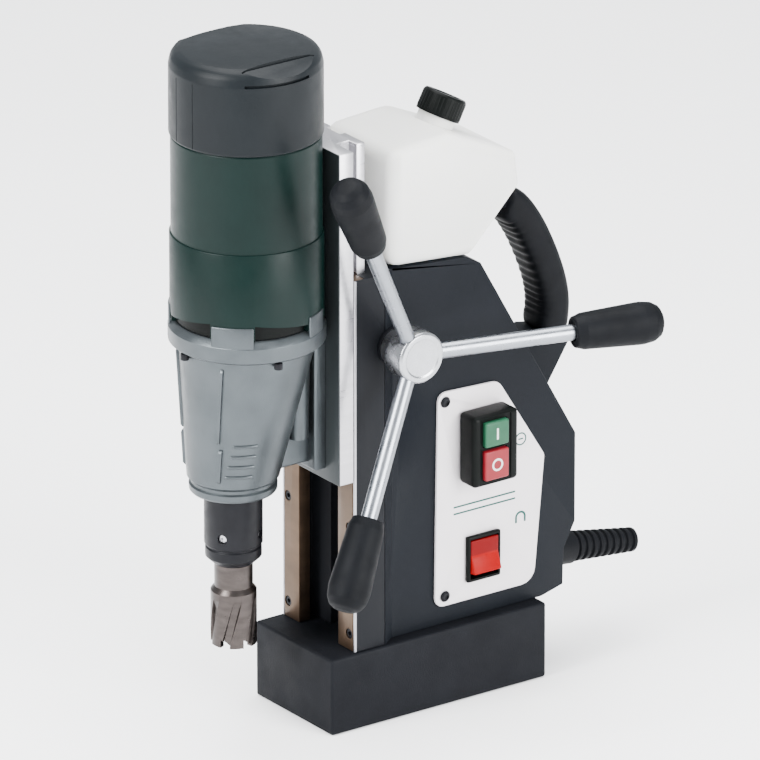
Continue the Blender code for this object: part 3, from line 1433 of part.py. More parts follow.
def make_layshaft(mats, parent):
    """The intermediate shaft: a large wheel driven by the motor, and a pinion that drives the spindle."""
    x, y = layshaft_place()
    low = GEARCASE_FLOOR_Z - 0.006 + GAP
    high = GEARCASE_TOP_Z - 0.0005
    shaft = cylinder("layshaft", (x, y, low), (x, y, high), LAYSHAFT_RADIUS, mats["tool_steel"])
    to_motor = math.atan2(MOTOR_Y - y, -x)
    to_spindle = math.atan2(SPINDLE_Y - y, -x)
    wheel = gear_outline(LAYSHAFT_WHEEL_TEETH, GEAR_MODULE, (x, y), to_motor + math.pi / LAYSHAFT_WHEEL_TEETH)
    pinion = gear_outline(LAYSHAFT_PINION_TEETH, GEAR_MODULE, (x, y), to_spindle)
    join(shaft, prism("layshaft_wheel", [wheel], UPPER_MESH_Z, UPPER_MESH_Z + GEAR_FACE, "Z"))
    join(shaft, prism("layshaft_pinion", [pinion], LOWER_MESH_Z, LOWER_MESH_Z + GEAR_FACE, "Z"))
    hang(parent, shaft)


def make_spindle(mats, parent):
    """The hollow spindle, its wheel, the black arbor and the annular cutter."""
    centre = (0, SPINDLE_Y, 0)
    gear_seat = 0.008
    nose = SHANK_RADIUS
    profile = [
        (0.0, SPINDLE_TOP_Z),
        (gear_seat, SPINDLE_TOP_Z),
        (gear_seat, LOWER_MESH_Z - 0.002),
        (SPINDLE_RADIUS, LOWER_MESH_Z - 0.002),
        (SPINDLE_RADIUS, GEARCASE_BOTTOM_Z),
        (nose, GEARCASE_BOTTOM_Z),
        (nose, SPINDLE_NOSE_Z),
        (SPINDLE_BORE_RADIUS, SPINDLE_NOSE_Z),
        (SPINDLE_BORE_RADIUS, SPINDLE_BORE_TOP_Z),
        (0.0, SPINDLE_BORE_TOP_Z),
    ]
    spindle = turned("spindle", profile, centre, Z_AXIS, mats["machined_steel"])
    x, y = layshaft_place()
    towards = math.atan2(y - SPINDLE_Y, x)
    teeth = gear_outline(
        SPINDLE_WHEEL_TEETH, GEAR_MODULE, (0, SPINDLE_Y), towards + math.pi / SPINDLE_WHEEL_TEETH
    )
    hole = circle((0, SPINDLE_Y), gear_seat + GAP)
    mesh_top = LOWER_MESH_Z + GEAR_FACE
    wheel = prism("spindle_gear", [teeth, hole], LOWER_MESH_Z, mesh_top, "Z", mats["tool_steel"])
    top = GEARCASE_BOTTOM_Z - 0.0005
    bore = SHANK_RADIUS + GAP
    arbor_profile = [
        (ARBOR_RADIUS, top),
        (ARBOR_RADIUS, ARBOR_BOTTOM_Z + ARBOR_NOSE_HEIGHT),
        (ARBOR_NOSE_RADIUS, ARBOR_BOTTOM_Z),
        (bore, ARBOR_BOTTOM_Z),
        (bore, top),
    ]
    arbor = turned("arbor", arbor_profile, centre, Z_AXIS, mats["dark_steel"], COARSE, ring=True)
    cutter = make_cutter(mats, centre)
    hang(parent, spindle, wheel, arbor, cutter)


def make_cutter(mats, centre):
    """The annular cutter: a hollow toothed barrel below a plain shank."""
    shoulder = ARBOR_BOTTOM_Z - GAP
    shank_top = ARBOR_BOTTOM_Z + SHANK_LENGTH
    hollow_top = CUTTER_TIP_Z + CUTTER_HOLLOW_DEPTH
    pin_bore = PIN_RADIUS + GAP
    profile = [
        (SHANK_RADIUS, shank_top),
        (SHANK_RADIUS, shoulder),
        (CUTTER_NECK_RADIUS, shoulder),
        (CUTTER_NECK_RADIUS, CUTTER_STEP_Z),
        (CUTTER_RADIUS, CUTTER_STEP_Z),
        (CUTTER_RADIUS, CUTTER_TIP_Z),
        (CUTTER_BORE_RADIUS, CUTTER_TIP_Z),
        (CUTTER_BORE_RADIUS, hollow_top),
        (pin_bore, hollow_top),
        (pin_bore, shank_top),
    ]
    cutter = turned("annular_cutter", profile, centre, Z_AXIS, mats["tool_steel"], FINE, ring=True)
    flute_floor = (CUTTER_RADIUS + CUTTER_BORE_RADIUS) / 2
    for i in range(CUTTER_FLUTES):
        turn = Matrix.Translation(centre) @ Matrix.Rotation(math.tau * i / CUTTER_FLUTES, 4, "Z")
        flute_high = (0.03, 0.0018, CUTTER_STEP_Z - 0.004)
        flute = box("flute", (flute_floor, -0.0018, CUTTER_TIP_Z - 0.01), flute_high)
        flute.matrix_world = turn @ Matrix.Translation(flute.location)
        gullet_high = (0.03, 0.0028, CUTTER_TIP_Z + 0.0045)
        gullet = box("gullet", (0.006, -0.0018, CUTTER_TIP_Z - 0.01), gullet_high)
        gullet.matrix_world = turn @ Matrix.Translation(gullet.location)
        cut(cutter, flute, gullet)
    return cutter


def make_pilot_pin(mats, parent):
    """The centring pin that the spring pushes down through the cutter."""
    head_low = ARBOR_BOTTOM_Z + SHANK_LENGTH + GAP
    head_high = head_low + PIN_HEAD_HEIGHT
    tip = PIN_TIP_Z
    profile = [
        (0.0, head_high),
        (PIN_HEAD_RADIUS, head_high),
        (PIN_HEAD_RADIUS, head_low),
        (PIN_RADIUS, head_low),
        (PIN_RADIUS, tip + 0.002),
        (0.0, tip),
    ]
    pin = turned("pilot_pin", profile, (0, SPINDLE_Y, 0), Z_AXIS, mats["tool_steel"], 16)
    spring_low = head_high + GAP + SPRING_WIRE
    spring_high = SPINDLE_BORE_TOP_Z - GAP - SPRING_WIRE
    radius = SPINDLE_BORE_RADIUS - GAP * 2 - SPRING_WIRE
    curve = bpy.data.curves.new("pilot_spring", "CURVE")
    curve.dimensions = "3D"
    curve.bevel_depth = SPRING_WIRE
    curve.bevel_resolution = 0
    curve.use_fill_caps = True
    per_turn = 8
    count = SPRING_TURNS * per_turn
    spline = curve.splines.new("POLY")
    spline.points.add(count)
    for i, point in enumerate(spline.points):
        angle = math.tau * i / per_turn
        height = spring_low + (spring_high - spring_low) * i / count
        point.co = (radius * math.cos(angle), radius * math.sin(angle), height, 1.0)
    guide = bpy.data.objects.new("pilot_spring_path", curve)
    guide.location = (0, SPINDLE_Y, 0)
    model.objects.link(guide)
    bpy.context.view_layer.update()
    spring = solid_from_curve("pilot_spring", guide, mats["machined_steel"])
    hang(parent, pin, spring)


# ---------------------------------------------------------------- feed handles


def make_feed(mats):
    """The pinion shaft across the stand, and the hub with its three handles on the +X side."""
    centre = Vector((0, FEED_Y, FEED_Z))
    axis = axis_empty("feed_axis", centre)
    wall = FEED_FACE_X + BUSHING_FLANGE + GAP
    shaft_start = -wall - SHAFT_CAP_THICKNESS
    shaft_end = HUB_END_X - 0.010
    shaft = cylinder(
        "feed_pinion_shaft",
        centre + X_AXIS * shaft_start,
        centre + X_AXIS * shaft_end,
        FEED_SHAFT_RADIUS,
        mats["tool_steel"],
    )
    teeth = gear_outline(FEED_TEETH, FEED_MODULE, (FEED_Y, FEED_Z), math.pi)
    half_face = PINION_FACE / 2
    join(shaft, prism("feed_teeth", [teeth], -half_face, half_face, "X"))
    bore = FEED_SHAFT_RADIUS + GAP
    cap_profile = [
        (0.0, wall + SHAFT_CAP_THICKNESS + 0.003),
        (SHAFT_CAP_RADIUS - 0.001, wall + SHAFT_CAP_THICKNESS + 0.003),
        (SHAFT_CAP_RADIUS, wall + SHAFT_CAP_THICKNESS + 0.002),
        (SHAFT_CAP_RADIUS, wall),
        (bore, wall),
        (bore, wall + SHAFT_CAP_THICKNESS + GAP),
        (0.0, wall + SHAFT_CAP_THICKNESS + GAP),
    ]
    cap = turned("feed_shaft_cap", cap_profile, centre, -X_AXIS, mats["dark_plastic"])
    hub_profile = [
        (0.0, HUB_END_X),
        (HUB_RADIUS - 0.002, HUB_END_X),
        (HUB_RADIUS, HUB_END_X - 0.002),
        (HUB_RADIUS, HUB_COLLAR_END_X),
        (HUB_COLLAR_RADIUS, HUB_COLLAR_END_X - 0.003),
        (HUB_COLLAR_RADIUS, wall),
        (bore, wall),
        (bore, shaft_end + GAP),
        (0.0, shaft_end + GAP),
    ]
    hub = turned("feed_hub", hub_profile, centre, X_AXIS, mats["chrome"])
    hang(axis, shaft, cap, hub)
    for i in range(HANDLE_COUNT):
        angle = HANDLE_FIRST_ANGLE + math.tau * i / HANDLE_COUNT
        make_handle(mats, axis, hub, i + 1, angle)


def make_handle(mats, axis, hub, number, angle):
    """A rod screwed into the hub, leaning outwards, with a tapered grip on its end."""
    level = math.cos(HANDLE_LEAN)
    outward = Vector((math.sin(HANDLE_LEAN), level * math.cos(angle), level * math.sin(angle)))
    root = Vector((HANDLE_ROOT_X, FEED_Y, FEED_Z))
    socket_floor = HUB_RADIUS - ROD_SOCKET_DEPTH
    rod_start = socket_floor + GAP * 2
    rod_low = root + outward * rod_start
    rod_high = root + outward * ROD_END
    rod = cylinder(f"feed_rod_{number}", rod_low, rod_high, ROD_RADIUS, mats["chrome"])
    cut(hub, cylinder("rod_socket", root + outward * socket_floor, root + outward * 0.05, ROD_RADIUS + GAP))
    length = GRIP_END - GRIP_START
    radius = GRIP_RADIUS
    bore = ROD_RADIUS + GAP
    profile = [
        (0.0, length),
        (radius * 0.45, length - 0.0010),
        (radius * 0.80, length - 0.0045),
        (radius * 0.97, length - 0.0105),
        (radius, length - 0.0180),
        (radius * 0.92, length * 0.45),
        (GRIP_NECK_RADIUS, 0.0015),
        (GRIP_NECK_RADIUS - 0.0015, 0.0),
        (bore, 0.0),
        (bore, ROD_END + GAP - GRIP_START),
        (0.0, ROD_END + GAP - GRIP_START),
    ]
    grip = turned(f"feed_grip_{number}", profile, root + outward * GRIP_START, outward, mats["black_rubber"])
    hang(axis, rod, grip)


# ---------------------------------------------------------------- assembly


def build():
    clear_scene()
    mats = make_materials()
    make_magnet(mats)
    housing = make_housing(mats)
    cut_handle_slot(housing)
    make_column(mats)
    make_gibs(mats)
    make_bushings(mats)
    make_panel(mats)
    make_push_switch(mats)
    make_rocker_switch(mats)
    make_circuit_board(mats)
    make_tank(mats)
    make_tank_cap(mats)
    make_carry_handle(mats)
    make_cord_outlet(mats)

    slide_axis = axis_empty("slide_axis", (0, SLIDE_FRONT_Y, SLIDE_BOTTOM_Z))
    carriage = make_slide(mats)
    carriage += [make_gearcase(mats), make_gear_cover(mats), make_motor_housing(mats), make_motor_cap(mats)]
    carriage += [make_stator(mats), *make_carriage_bearings(mats)]
    hang(slide_axis, *carriage)

    armature_axis = axis_empty("armature_axis", (0, MOTOR_Y, GEARCASE_TOP_Z), slide_axis)
    make_armature(mats, armature_axis)
    x, y = layshaft_place()
    make_layshaft(mats, axis_empty("layshaft_axis", (x, y, GEARCASE_TOP_Z), slide_axis))
    spindle_axis = axis_empty("spindle_axis", (0, SPINDLE_Y, GEARCASE_BOTTOM_Z), slide_axis)
    make_spindle(mats, spindle_axis)
    make_pilot_pin(mats, axis_empty("pilot_axis", (0, SPINDLE_Y, CUTTER_TIP_Z), spindle_axis))
    make_feed(mats)


build()
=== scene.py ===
"""Looks of the magnetic drill press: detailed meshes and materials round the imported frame.

Units are metres, in the CAD's own frame: +Z up, the drill hangs on the -Y side, and the feed handles
and the control panel are on the +X side.
"""

import json
import math

import bmesh
import bpy
from mathutils import Matrix, Vector


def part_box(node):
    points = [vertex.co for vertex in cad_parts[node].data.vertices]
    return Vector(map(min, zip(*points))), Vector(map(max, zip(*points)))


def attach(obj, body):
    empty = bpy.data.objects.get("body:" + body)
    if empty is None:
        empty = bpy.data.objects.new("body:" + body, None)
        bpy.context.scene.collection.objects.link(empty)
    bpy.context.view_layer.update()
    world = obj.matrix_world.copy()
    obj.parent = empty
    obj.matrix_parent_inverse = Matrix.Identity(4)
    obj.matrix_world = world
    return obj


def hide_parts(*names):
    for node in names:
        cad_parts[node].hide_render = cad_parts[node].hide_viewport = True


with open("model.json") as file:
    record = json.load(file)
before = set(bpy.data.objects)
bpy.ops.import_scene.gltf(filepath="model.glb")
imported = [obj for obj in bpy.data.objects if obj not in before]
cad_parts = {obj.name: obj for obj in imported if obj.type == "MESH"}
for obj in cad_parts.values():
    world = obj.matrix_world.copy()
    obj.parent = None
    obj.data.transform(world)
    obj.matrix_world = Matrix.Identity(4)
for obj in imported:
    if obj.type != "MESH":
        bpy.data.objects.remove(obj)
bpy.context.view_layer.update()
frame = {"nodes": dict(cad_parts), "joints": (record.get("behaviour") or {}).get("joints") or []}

X_AXIS = Vector((1, 0, 0))
Y_AXIS = Vector((0, 1, 0))
Z_AXIS = Vector((0, 0, 1))
GAP = 0.0003
SMOOTH_ANGLE = math.radians(32)

# The camera: a long lens at the angle of a product shot. FRAME_WIDTH is what it takes in at the object.
CAMERA_AZIMUTH = math.radians(54.431)
CAMERA_ELEVATION = math.radians(21.65)
CAMERA_DISTANCE = 8.0
FRAME_WIDTH = 0.4578
SENSOR_WIDTH = 36.0
AIM_HEIGHT = 0.230
AIM_RIGHT = -0.01288
AIM_UP = -0.02784

# Each light: its name, how far it stands towards the camera, to the right and above, its size and watts.
LIGHTS = (
    ("key", 1.2, -1.5, 1.1, (1.0, 1.4), 135),
    ("fill", 1.3, 1.6, 0.7, (1.2, 1.4), 125),
    ("top", -0.3, 0.0, 2.2, (2.0, 2.0), 150),
)
SKY_STRENGTH = 1.15


# ---------------------------------------------------------------- the frame's own places


def low(node):
    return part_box(node)[0]


def high(node):
    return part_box(node)[1]


def middle(node):
    lowest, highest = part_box(node)
    return (lowest + highest) / 2


def joint_place(name):
    joint = next(joint for joint in frame["joints"] if joint["name"] == name)
    return Vector(joint["pos_m"])


def joint_axis(name):
    joint = next(joint for joint in frame["joints"] if joint["name"] == name)
    return Vector(joint["axis"])


FEED = joint_place("feed_turn")
SPINDLE = joint_place("spindle_spin")
MOTOR = joint_place("armature_spin")
CAP_FOOT = joint_place("cap_turn")
CAP_AXIS = joint_axis("cap_turn").normalized()
SLIDE_FACE_Y = low("slide_plate").y
# Where the slide's front face begins. That face is coloured dark, partly as its own dark finish and
# partly as painted shade, since it lies in the gear case's shade.
SLIDE_FACE_TO = (SLIDE_FACE_Y + 0.0009, SLIDE_FACE_Y + 0.0005)
COLUMN_PAINT_FROM = (low("guide_column").y + 0.0012, low("guide_column").y + 0.0017)
# The height where the red rocker's pressed-in upper half starts to get its painted shade.
ROCKER_PAINTED_SHADE_FROM = (middle("rocker_frame").z + 0.0022, middle("rocker_frame").z + 0.0030)
FEED_PLACE = Vector((0, FEED.y, FEED.z))
SPINDLE_PLACE = Vector((SPINDLE.x, SPINDLE.y, 0))
MOTOR_PLACE = Vector((MOTOR.x, MOTOR.y, 0))


# ---------------------------------------------------------------- mesh tools


def new_object(name, shape):
    """An object from a bmesh, which is freed."""
    mesh = bpy.data.meshes.new(name)
    bmesh.ops.recalc_face_normals(shape, faces=shape.faces)
    shape.to_mesh(mesh)
    shape.free()
    obj = bpy.data.objects.new(name, mesh)
    bpy.context.scene.collection.objects.link(obj)
    return obj


def remove(obj):
    mesh = obj.data
    bpy.data.objects.remove(obj, do_unlink=True)
    bpy.data.meshes.remove(mesh)


def apply(obj):
    """Makes the modified shape the object's own mesh."""
    bpy.context.view_layer.update()
    evaluated = obj.evaluated_get(bpy.context.evaluated_depsgraph_get())
    mesh = bpy.data.meshes.new_from_object(evaluated)
    old = obj.data
    obj.modifiers.clear()
    obj.data = mesh
    bpy.data.meshes.remove(old)
    return obj


def boolean(obj, operation, tools):
    for tool in tools:
        modifier = obj.modifiers.new("boolean", "BOOLEAN")
        modifier.operation = operation
        modifier.object = tool
        modifier.solver = "EXACT"
    apply(obj)
    for tool in tools:
        remove(tool)
    return obj


def cut(obj, *tools):
    return boolean(obj, "DIFFERENCE", tools)


def fuse(obj, *tools):
    return boolean(obj, "UNION", tools)


def gather(name, *objs):
    """Puts separate solids in one object."""
    shape = bmesh.new()
    for obj in objs:
        shape.from_mesh(obj.data)
        remove(obj)
    return new_object(name, shape)


def soften(obj, width, segments=3, angle=30.0):
    """Rounds the sharp edges."""
    modifier = obj.modifiers.new("rounded", "BEVEL")
    modifier.width = width
    modifier.segments = segments
    modifier.limit_method = "ANGLE"
    modifier.angle_limit = math.radians(angle)
    return apply(obj)


def soften_long_edges(obj, width, shortest, segments=3, angle=18.0):
    """Rounds only the long sharp edges, so that small holes and facets stay as they are."""
    shape = bmesh.new()
    shape.from_mesh(obj.data)
    layer = shape.edges.layers.float.new("bevel_weight_edge")
    for edge in shape.edges:
        sharp = len(edge.link_faces) == 2 and edge.calc_face_angle() > math.radians(angle)
        edge[layer] = 1.0 if sharp and edge.calc_length() > shortest else 0.0
    shape.to_mesh(obj.data)
    shape.free()
    modifier = obj.modifiers.new("rounded", "BEVEL")
    modifier.width = width
    modifier.segments = segments
    modifier.limit_method = "WEIGHT"
    modifier.use_clamp_overlap = False
    return apply(obj)


def copy_of(node, name):
    """A CAD node's shape as a new object, with flat faces whole again."""
    shape = bmesh.new()
    shape.from_mesh(frame["nodes"][node].data)
    bmesh.ops.remove_doubles(shape, verts=shape.verts, dist=2e-6)
    bmesh.ops.dissolve_limit(
        shape, angle_limit=math.radians(0.6), verts=shape.verts, edges=shape.edges
    )
    return new_object(name, shape)


def rounded_box(name, lowest, highest, radius, segments=3):
    lowest = Vector(lowest)
    highest = Vector(highest)
    shape = bmesh.new()
    bmesh.ops.create_cube(shape, size=1.0)
    bmesh.ops.scale(shape, vec=highest - lowest, verts=shape.verts)
    bmesh.ops.translate(shape, vec=(lowest + highest) / 2, verts=shape.verts)
    if radius > 0:
        bmesh.ops.bevel(
            shape, geom=shape.edges, offset=radius, segments=segments, profile=0.5, affect="EDGES"
        )
    return new_object(name, shape)


def fillet(points, radius, steps=4, closed=False):
    """Rounds the corners of a flat line of points."""
    points = [Vector(point) for point in points]
    count = len(points)
    rounded = []
    for i, corner in enumerate(points):
        ends = not closed and i in (0, count - 1)
        to_last = points[i - 1] - corner
        to_next = points[(i + 1) % count] - corner
        turn = 0.0 if ends else math.pi - to_last.angle(to_next)
        if turn < math.radians(8):
            rounded.append(tuple(corner))
            continue
        reach = min(
            radius * math.tan(turn / 2), to_last.length * 0.45, to_next.length * 0.45
        )
        start = corner + to_last.normalized() * reach
        end = corner + to_next.normalized() * reach
        for step in range(steps + 1):
            t = step / steps
            point = start * (1 - t) ** 2 + corner * (2 * t * (1 - t)) + end * t**2
            rounded.append(tuple(point))
    return rounded


def lathe(name, profile, foot, direction, segments=64, ring=False):
    """Turns a profile of (radius, height) round an axis."""
    turn = Vector(direction).normalized().to_track_quat("Z", "Y").to_matrix().to_4x4()
    place = Matrix.Translation(foot) @ turn
    shape = bmesh.new()
    rings = []
    for radius, height in profile:
        if radius < 1e-6:
            rings.append([shape.verts.new(place @ Vector((0, 0, height)))])
            continue
        circle = []
        for i in range(segments):
            angle = math.tau * i / segments
            point = Vector((radius * math.cos(angle), radius * math.sin(angle), height))
            circle.append(shape.verts.new(place @ point))
        rings.append(circle)
    pairs = list(zip(rings, rings[1:]))
    if ring:
        pairs.append((rings[-1], rings[0]))
    for first, second in pairs:
        for i in range(segments):
            j = (i + 1) % segments
            corners = [
                first[i % len(first)],
                first[j % len(first)],
                second[j % len(second)],
                second[i % len(second)],
            ]
            corners = list(dict.fromkeys(corners))
            if len(corners) > 2:
                shape.faces.new(corners)
    return new_object(name, shape)


def loft(name, sections):
    """A closed skin over sections, which are lists of as many points each."""
    shape = bmesh.new()
    rings = [[shape.verts.new(point) for point in section] for section in sections]
    for first, second in zip(rings, rings[1:]):
        for i in range(len(first)):
            j = (i + 1) % len(first)
            shape.faces.new([first[i], first[j], second[j], second[i]])
    shape.faces.new(rings[0][::-1])
    shape.faces.new(rings[-1])
    return new_object(name, shape)


def prism(name, outline, start, end, along):
    """A flat outline extruded along X, Y or Z. Its points are the other two coordinates in order."""

    def place(point, level):
        a, b = point
        return {"X": (level, a, b), "Y": (a, level, b), "Z": (a, b, level)}[along]

    return loft(
        name, [[place(point, start) for point in outline], [place(point, end) for point in outline]]
    )


def bar(name, start, end, radius, segments=32, end_radius=None):
    """A straight round bar or cone between two points."""
    start = Vector(start)
    end = Vector(end)
    length = (end - start).length
    tip = radius if end_radius is None else end_radius
    return lathe(
        name, [(0, 0), (radius, 0), (tip, length), (0, length)], start, end - start, segments
    )


def circle(centre, radius, segments=48, start=0.0, sweep=math.tau):
    closed = abs(sweep - math.tau) < 1e-6
    steps = segments if closed else segments + 1
    points = []
    for i in range(steps):
        angle = start + sweep * i / segments
        points.append(
            (centre[0] + radius * math.cos(angle), centre[1] + radius * math.sin(angle))
        )
    return points


def sector(name, centre, inner, outer, start_z, end_z, first, last, steps=24, end_z_last=None):
    """A block bent round a vertical axis, from one angle to another. Its top may slope along it."""
    if end_z_last is None:
        end_z_last = end_z
    sections = []
    for i in range(steps + 1):
        share = i / steps
        angle = first + (last - first) * share
        outward = Vector((math.cos(angle), math.sin(angle), 0))
        top = end_z + (end_z_last - end_z) * share
        base = Vector((centre[0], centre[1], 0))
        sections.append(
            [
                base + outward * inner + Z_AXIS * start_z,
                base + outward * outer + Z_AXIS * start_z,
                base + outward * outer + Z_AXIS * top,
                base + outward * inner + Z_AXIS * top,
            ]
        )
    return loft(name, sections)


def clipped_circle(centre, radius, back_y, segments=96):
    """A circle whose rear is cut flat at back_y."""
    reach = (back_y - centre[1]) / radius
    if reach >= 1.0:
        return circle(centre, radius, segments)
    first = math.asin(reach)
    sweep = math.pi + 2 * first
    return circle(centre, radius, segments, math.pi - first, sweep)


def smooth_route(places, samples):
    """Points on a Catmull-Rom curve through the places."""
    padded = [places[0], *places, places[-1]]
    points = []
    for i in range(1, len(padded) - 2):
        a, b, c, d = (Vector(place) for place in padded[i - 1 : i + 3])
        for step in range(samples):
            t = step / samples
            points.append(
                0.5
                * (
                    2 * b
                    + (c - a) * t
                    + (2 * a - 5 * b + 4 * c - d) * t**2
                    + (3 * b - a - 3 * c + d) * t**3
                )
            )
    points.append(Vector(places[-1]))
    return points


# ---------------------------------------------------------------- materials


class Finish:
    """A Principled material with its node tree, built step by step."""

    def __init__(self, name, colour, roughness, metallic=0.0, **sockets):
        self.material = bpy.data.materials.new(name)
        self.material.use_nodes = True
        self.nodes = self.material.node_tree.nodes
        self.links = self.material.node_tree.links
        self.shader = self.nodes["Principled BSDF"]
        self.colour = colour
        self.shader.inputs["Base Color"].default_value = (*colour, 1.0)
        self.shader.inputs["Roughness"].default_value = roughness
        self.shader.inputs["Metallic"].default_value = metallic
        for socket, value in sockets.items():
            self.shader.inputs[socket.replace("_", " ")].default_value = value
        self.roughness = roughness
        self.place = self.nodes.new("ShaderNodeTexCoord").outputs["Object"]

    def noise(self, scale, stretch=(1, 1, 1), detail=4.0):
        mapping = self.nodes.new("ShaderNodeMapping")
        mapping.inputs["Scale"].default_value = stretch
        self.links.new(self.place, mapping.inputs["Vector"])
        texture = self.nodes.new("ShaderNodeTexNoise")
        texture.inputs["Scale"].default_value = scale
        texture.inputs["Detail"].default_value = detail
        self.links.new(mapping.outputs["Vector"], texture.inputs["Vector"])
        return texture.outputs["Fac"]

    def ramp(self, value, from_low, from_high, to_low, to_high):
        node = self.nodes.new("ShaderNodeMapRange")
        node.inputs["From Min"].default_value = from_low
        node.inputs["From Max"].default_value = from_high
        node.inputs["To Min"].default_value = to_low
        node.inputs["To Max"].default_value = to_high
        self.links.new(value, node.inputs["Value"])
        return node.outputs["Result"]

    def mix_colour(self, factor, first, second):
        node = self.nodes.new("ShaderNodeMix")
        node.data_type = "RGBA"
        self.links.new(factor, node.inputs["Factor"])
        for socket, value in ((6, first), (7, second)):
            if isinstance(value, tuple):
                node.inputs[socket].default_value = (*value, 1.0)
            else:
                self.links.new(value, node.inputs[socket])
        return node.outputs[2]

    def mottle(self, amount, scale, stretch=(1, 1, 1)):
        """Slow colour variation round the base colour."""
        dark = tuple(channel * (1 - amount) for channel in self.colour)
        light = tuple(min(1.0, channel * (1 + amount)) for channel in self.colour)
        factor = self.ramp(self.noise(scale, stretch), 0.3, 0.7, 0.0, 1.0)
        self.shown = self.mix_colour(factor, dark, light)
        self.links.new(self.shown, self.shader.inputs["Base Color"])
        return self

    def rough(self, spread, scale, stretch=(1, 1, 1)):
        value = self.ramp(
            self.noise(scale, stretch), 0.3, 0.7, self.roughness - spread, self.roughness + spread
        )
        self.links.new(value, self.shader.inputs["Roughness"])
        return self

    def bump(self, depth, scale, stretch=(1, 1, 1), strength=1.0, detail=4.0):
        node = self.nodes.new("ShaderNodeBump")
        node.inputs["Strength"].default_value = strength
        node.inputs["Distance"].default_value = depth
        self.links.new(self.noise(scale, stretch, detail), node.inputs["Height"])
        before = self.shader.inputs["Normal"]
        if before.is_linked:
            self.links.new(before.links[0].from_socket, node.inputs["Normal"])
        self.links.new(node.outputs["Normal"], self.shader.inputs["Normal"])
        return self

    def zone(self, axis, start, end, colour, roughness, metallic):
        """Another finish where a coordinate lies past start, with a soft edge that ends at end. It also
        serves to paint shade into a colour.
        """
        split = self.nodes.new("ShaderNodeSeparateXYZ")
        self.links.new(self.place, split.inputs["Vector"])
        factor = self.ramp(split.outputs[axis], start, end, 0.0, 1.0)
        base = self.shader.inputs["Base Color"]
        first = base.links[0].from_socket if base.is_linked else self.colour
        self.links.new(self.mix_colour(factor, first, colour), base)
        for socket, value in (("Roughness", roughness), ("Metallic", metallic)):
            target = self.shader.inputs[socket]
            if target.is_linked:
                first = target.links[0].from_socket
                node = self.nodes.new("ShaderNodeMix")
                self.links.new(factor, node.inputs["Factor"])
                self.links.new(first, node.inputs["A"])
                node.inputs["B"].default_value = value
                self.links.new(node.outputs["Result"], target)
            else:
                self.links.new(
                    self.ramp(split.outputs[axis], start, end, target.default_value, value), target
                )
        return self


